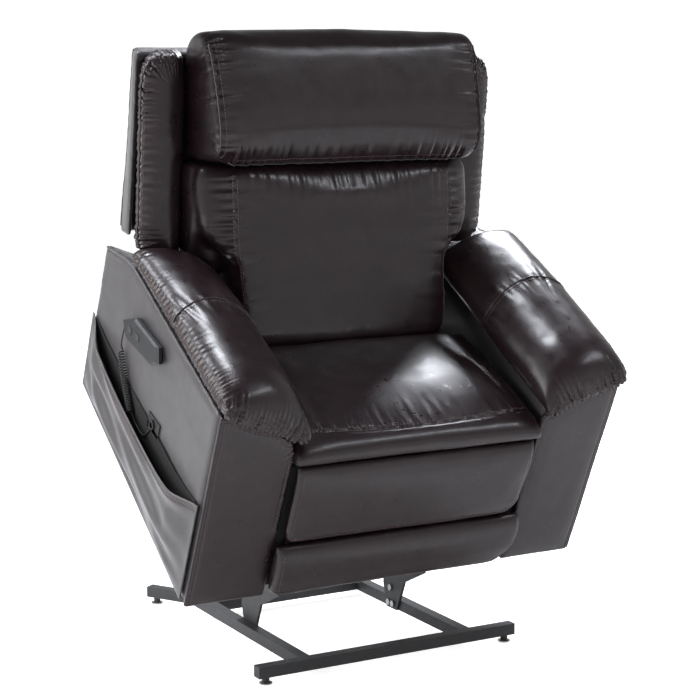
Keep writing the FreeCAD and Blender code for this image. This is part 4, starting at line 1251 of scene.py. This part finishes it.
def make_world():
    """Plain white behind the object; what the leather mirrors is bright low down and dim overhead."""
    world = bpy.data.worlds.new("studio")
    world.use_nodes = True
    tree = world.node_tree
    ground = tree.nodes["Background"]
    ground.inputs["Color"].default_value = (1, 1, 1, 1)
    ground.inputs["Strength"].default_value = BACKDROP
    room = tree.nodes.new("ShaderNodeBackground")
    ray = tree.nodes.new("ShaderNodeLightPath")
    mix = tree.nodes.new("ShaderNodeMixShader")
    place = tree.nodes.new("ShaderNodeTexCoord")
    parts = tree.nodes.new("ShaderNodeSeparateXYZ")
    ramp = tree.nodes.new("ShaderNodeValToRGB")
    tree.links.new(place.outputs["Generated"], parts.inputs["Vector"])
    tree.links.new(parts.outputs["Z"], ramp.inputs["Fac"])
    points = ramp.color_ramp.elements
    points[0].position, points[0].color = 0.0, (ROOM_LOW, ROOM_LOW, ROOM_LOW, 1)
    points[1].position, points[1].color = 0.75, (ROOM_HIGH, ROOM_HIGH, ROOM_HIGH * 1.05, 1)
    middle = ramp.color_ramp.elements.new(0.3)
    middle.color = (ROOM_MIDDLE, ROOM_MIDDLE, ROOM_MIDDLE, 1)
    tree.links.new(ramp.outputs["Color"], room.inputs["Color"])
    tree.links.new(ray.outputs["Is Camera Ray"], mix.inputs["Fac"])
    tree.links.new(room.outputs["Background"], mix.inputs[1])
    tree.links.new(ground.outputs["Background"], mix.inputs[2])
    tree.links.new(mix.outputs["Shader"], tree.nodes["World Output"].inputs["Surface"])
    SCENE.world = world


def soft_light(name, place, target, size, power, colour=(1, 1, 1)):
    data = bpy.data.lights.new(name, "AREA")
    data.shape = "RECTANGLE"
    data.size, data.size_y = size
    data.energy = power
    data.color = colour
    lamp = bpy.data.objects.new(name, data)
    SCENE.collection.objects.link(lamp)
    lamp.location = place
    lamp.rotation_euler = (Vector(target) - Vector(place)).to_track_quat("-Z", "Y").to_euler()
    return lamp


def keep_off(lamp, names):
    """The light passes these covers by, as a screen in front of it would do."""
    group = bpy.data.collections.new(lamp.name + "_screened")
    for name in names:
        group.objects.link(bpy.data.objects[name])
    lamp.light_linking.receiver_collection = group
    for entry in group.collection_objects:
        entry.light_linking.link_state = "EXCLUDE"


def make_studio():
    make_floor()
    make_world()
    middle = (0.0, 0.0, 0.7)
    cool = (0.90, 0.93, 1.0)
    right = soft_light("right_rear_box", (2.0, 1.9, 3.2), middle, (1.5, 1.1), 138, cool)
    left = soft_light("left_rear_box", (-1.9, 1.5, 3.2), middle, (1.5, 0.8), 45, cool)
    side = soft_light("side_panel_box", (-4.4, 1.0, 1.9), (-0.5, 0.1, 0.8), (2.8, 3.2), 150)
    above = soft_light("overhead_box", (-0.55, 0.75, 4.3), middle, (0.6, 1.0), 70, cool)
    soft_light("front_top_box", (2.3, -2.6, 4.0), (0.0, 0.1, 1.1), (2.2, 0.5), 32, cool)
    for lamp in (right, left, above):
        keep_off(lamp, ["headrest_cover"])
    keep_off(side, ["headrest_cover", "back_cover"])
    data = bpy.data.cameras.new("photo_camera")
    data.lens = CAMERA_LENS
    data.sensor_width = 36.0
    camera = bpy.data.objects.new("photo_camera", data)
    SCENE.collection.objects.link(camera)
    camera.location = CAMERA_PLACE
    camera.rotation_euler = (CAMERA_TARGET - CAMERA_PLACE).to_track_quat("-Z", "Y").to_euler()
    SCENE.camera = camera
    SCENE.view_settings.view_transform = "Standard"


def main():
    dress_frame()
    make_headrest()
    make_back_cushion()
    make_seat()
    for sign, side in SIDES:
        make_wing(sign, side)
        make_arm_pad(sign, side)
        make_arm_front(sign, side)
        make_arm_side(sign, side)
        make_skirt(sign, side)
    make_back_shell()
    make_pocket()
    make_cord()
    make_footrest()
    make_studio()


main()
bpy.context.view_layer.update()
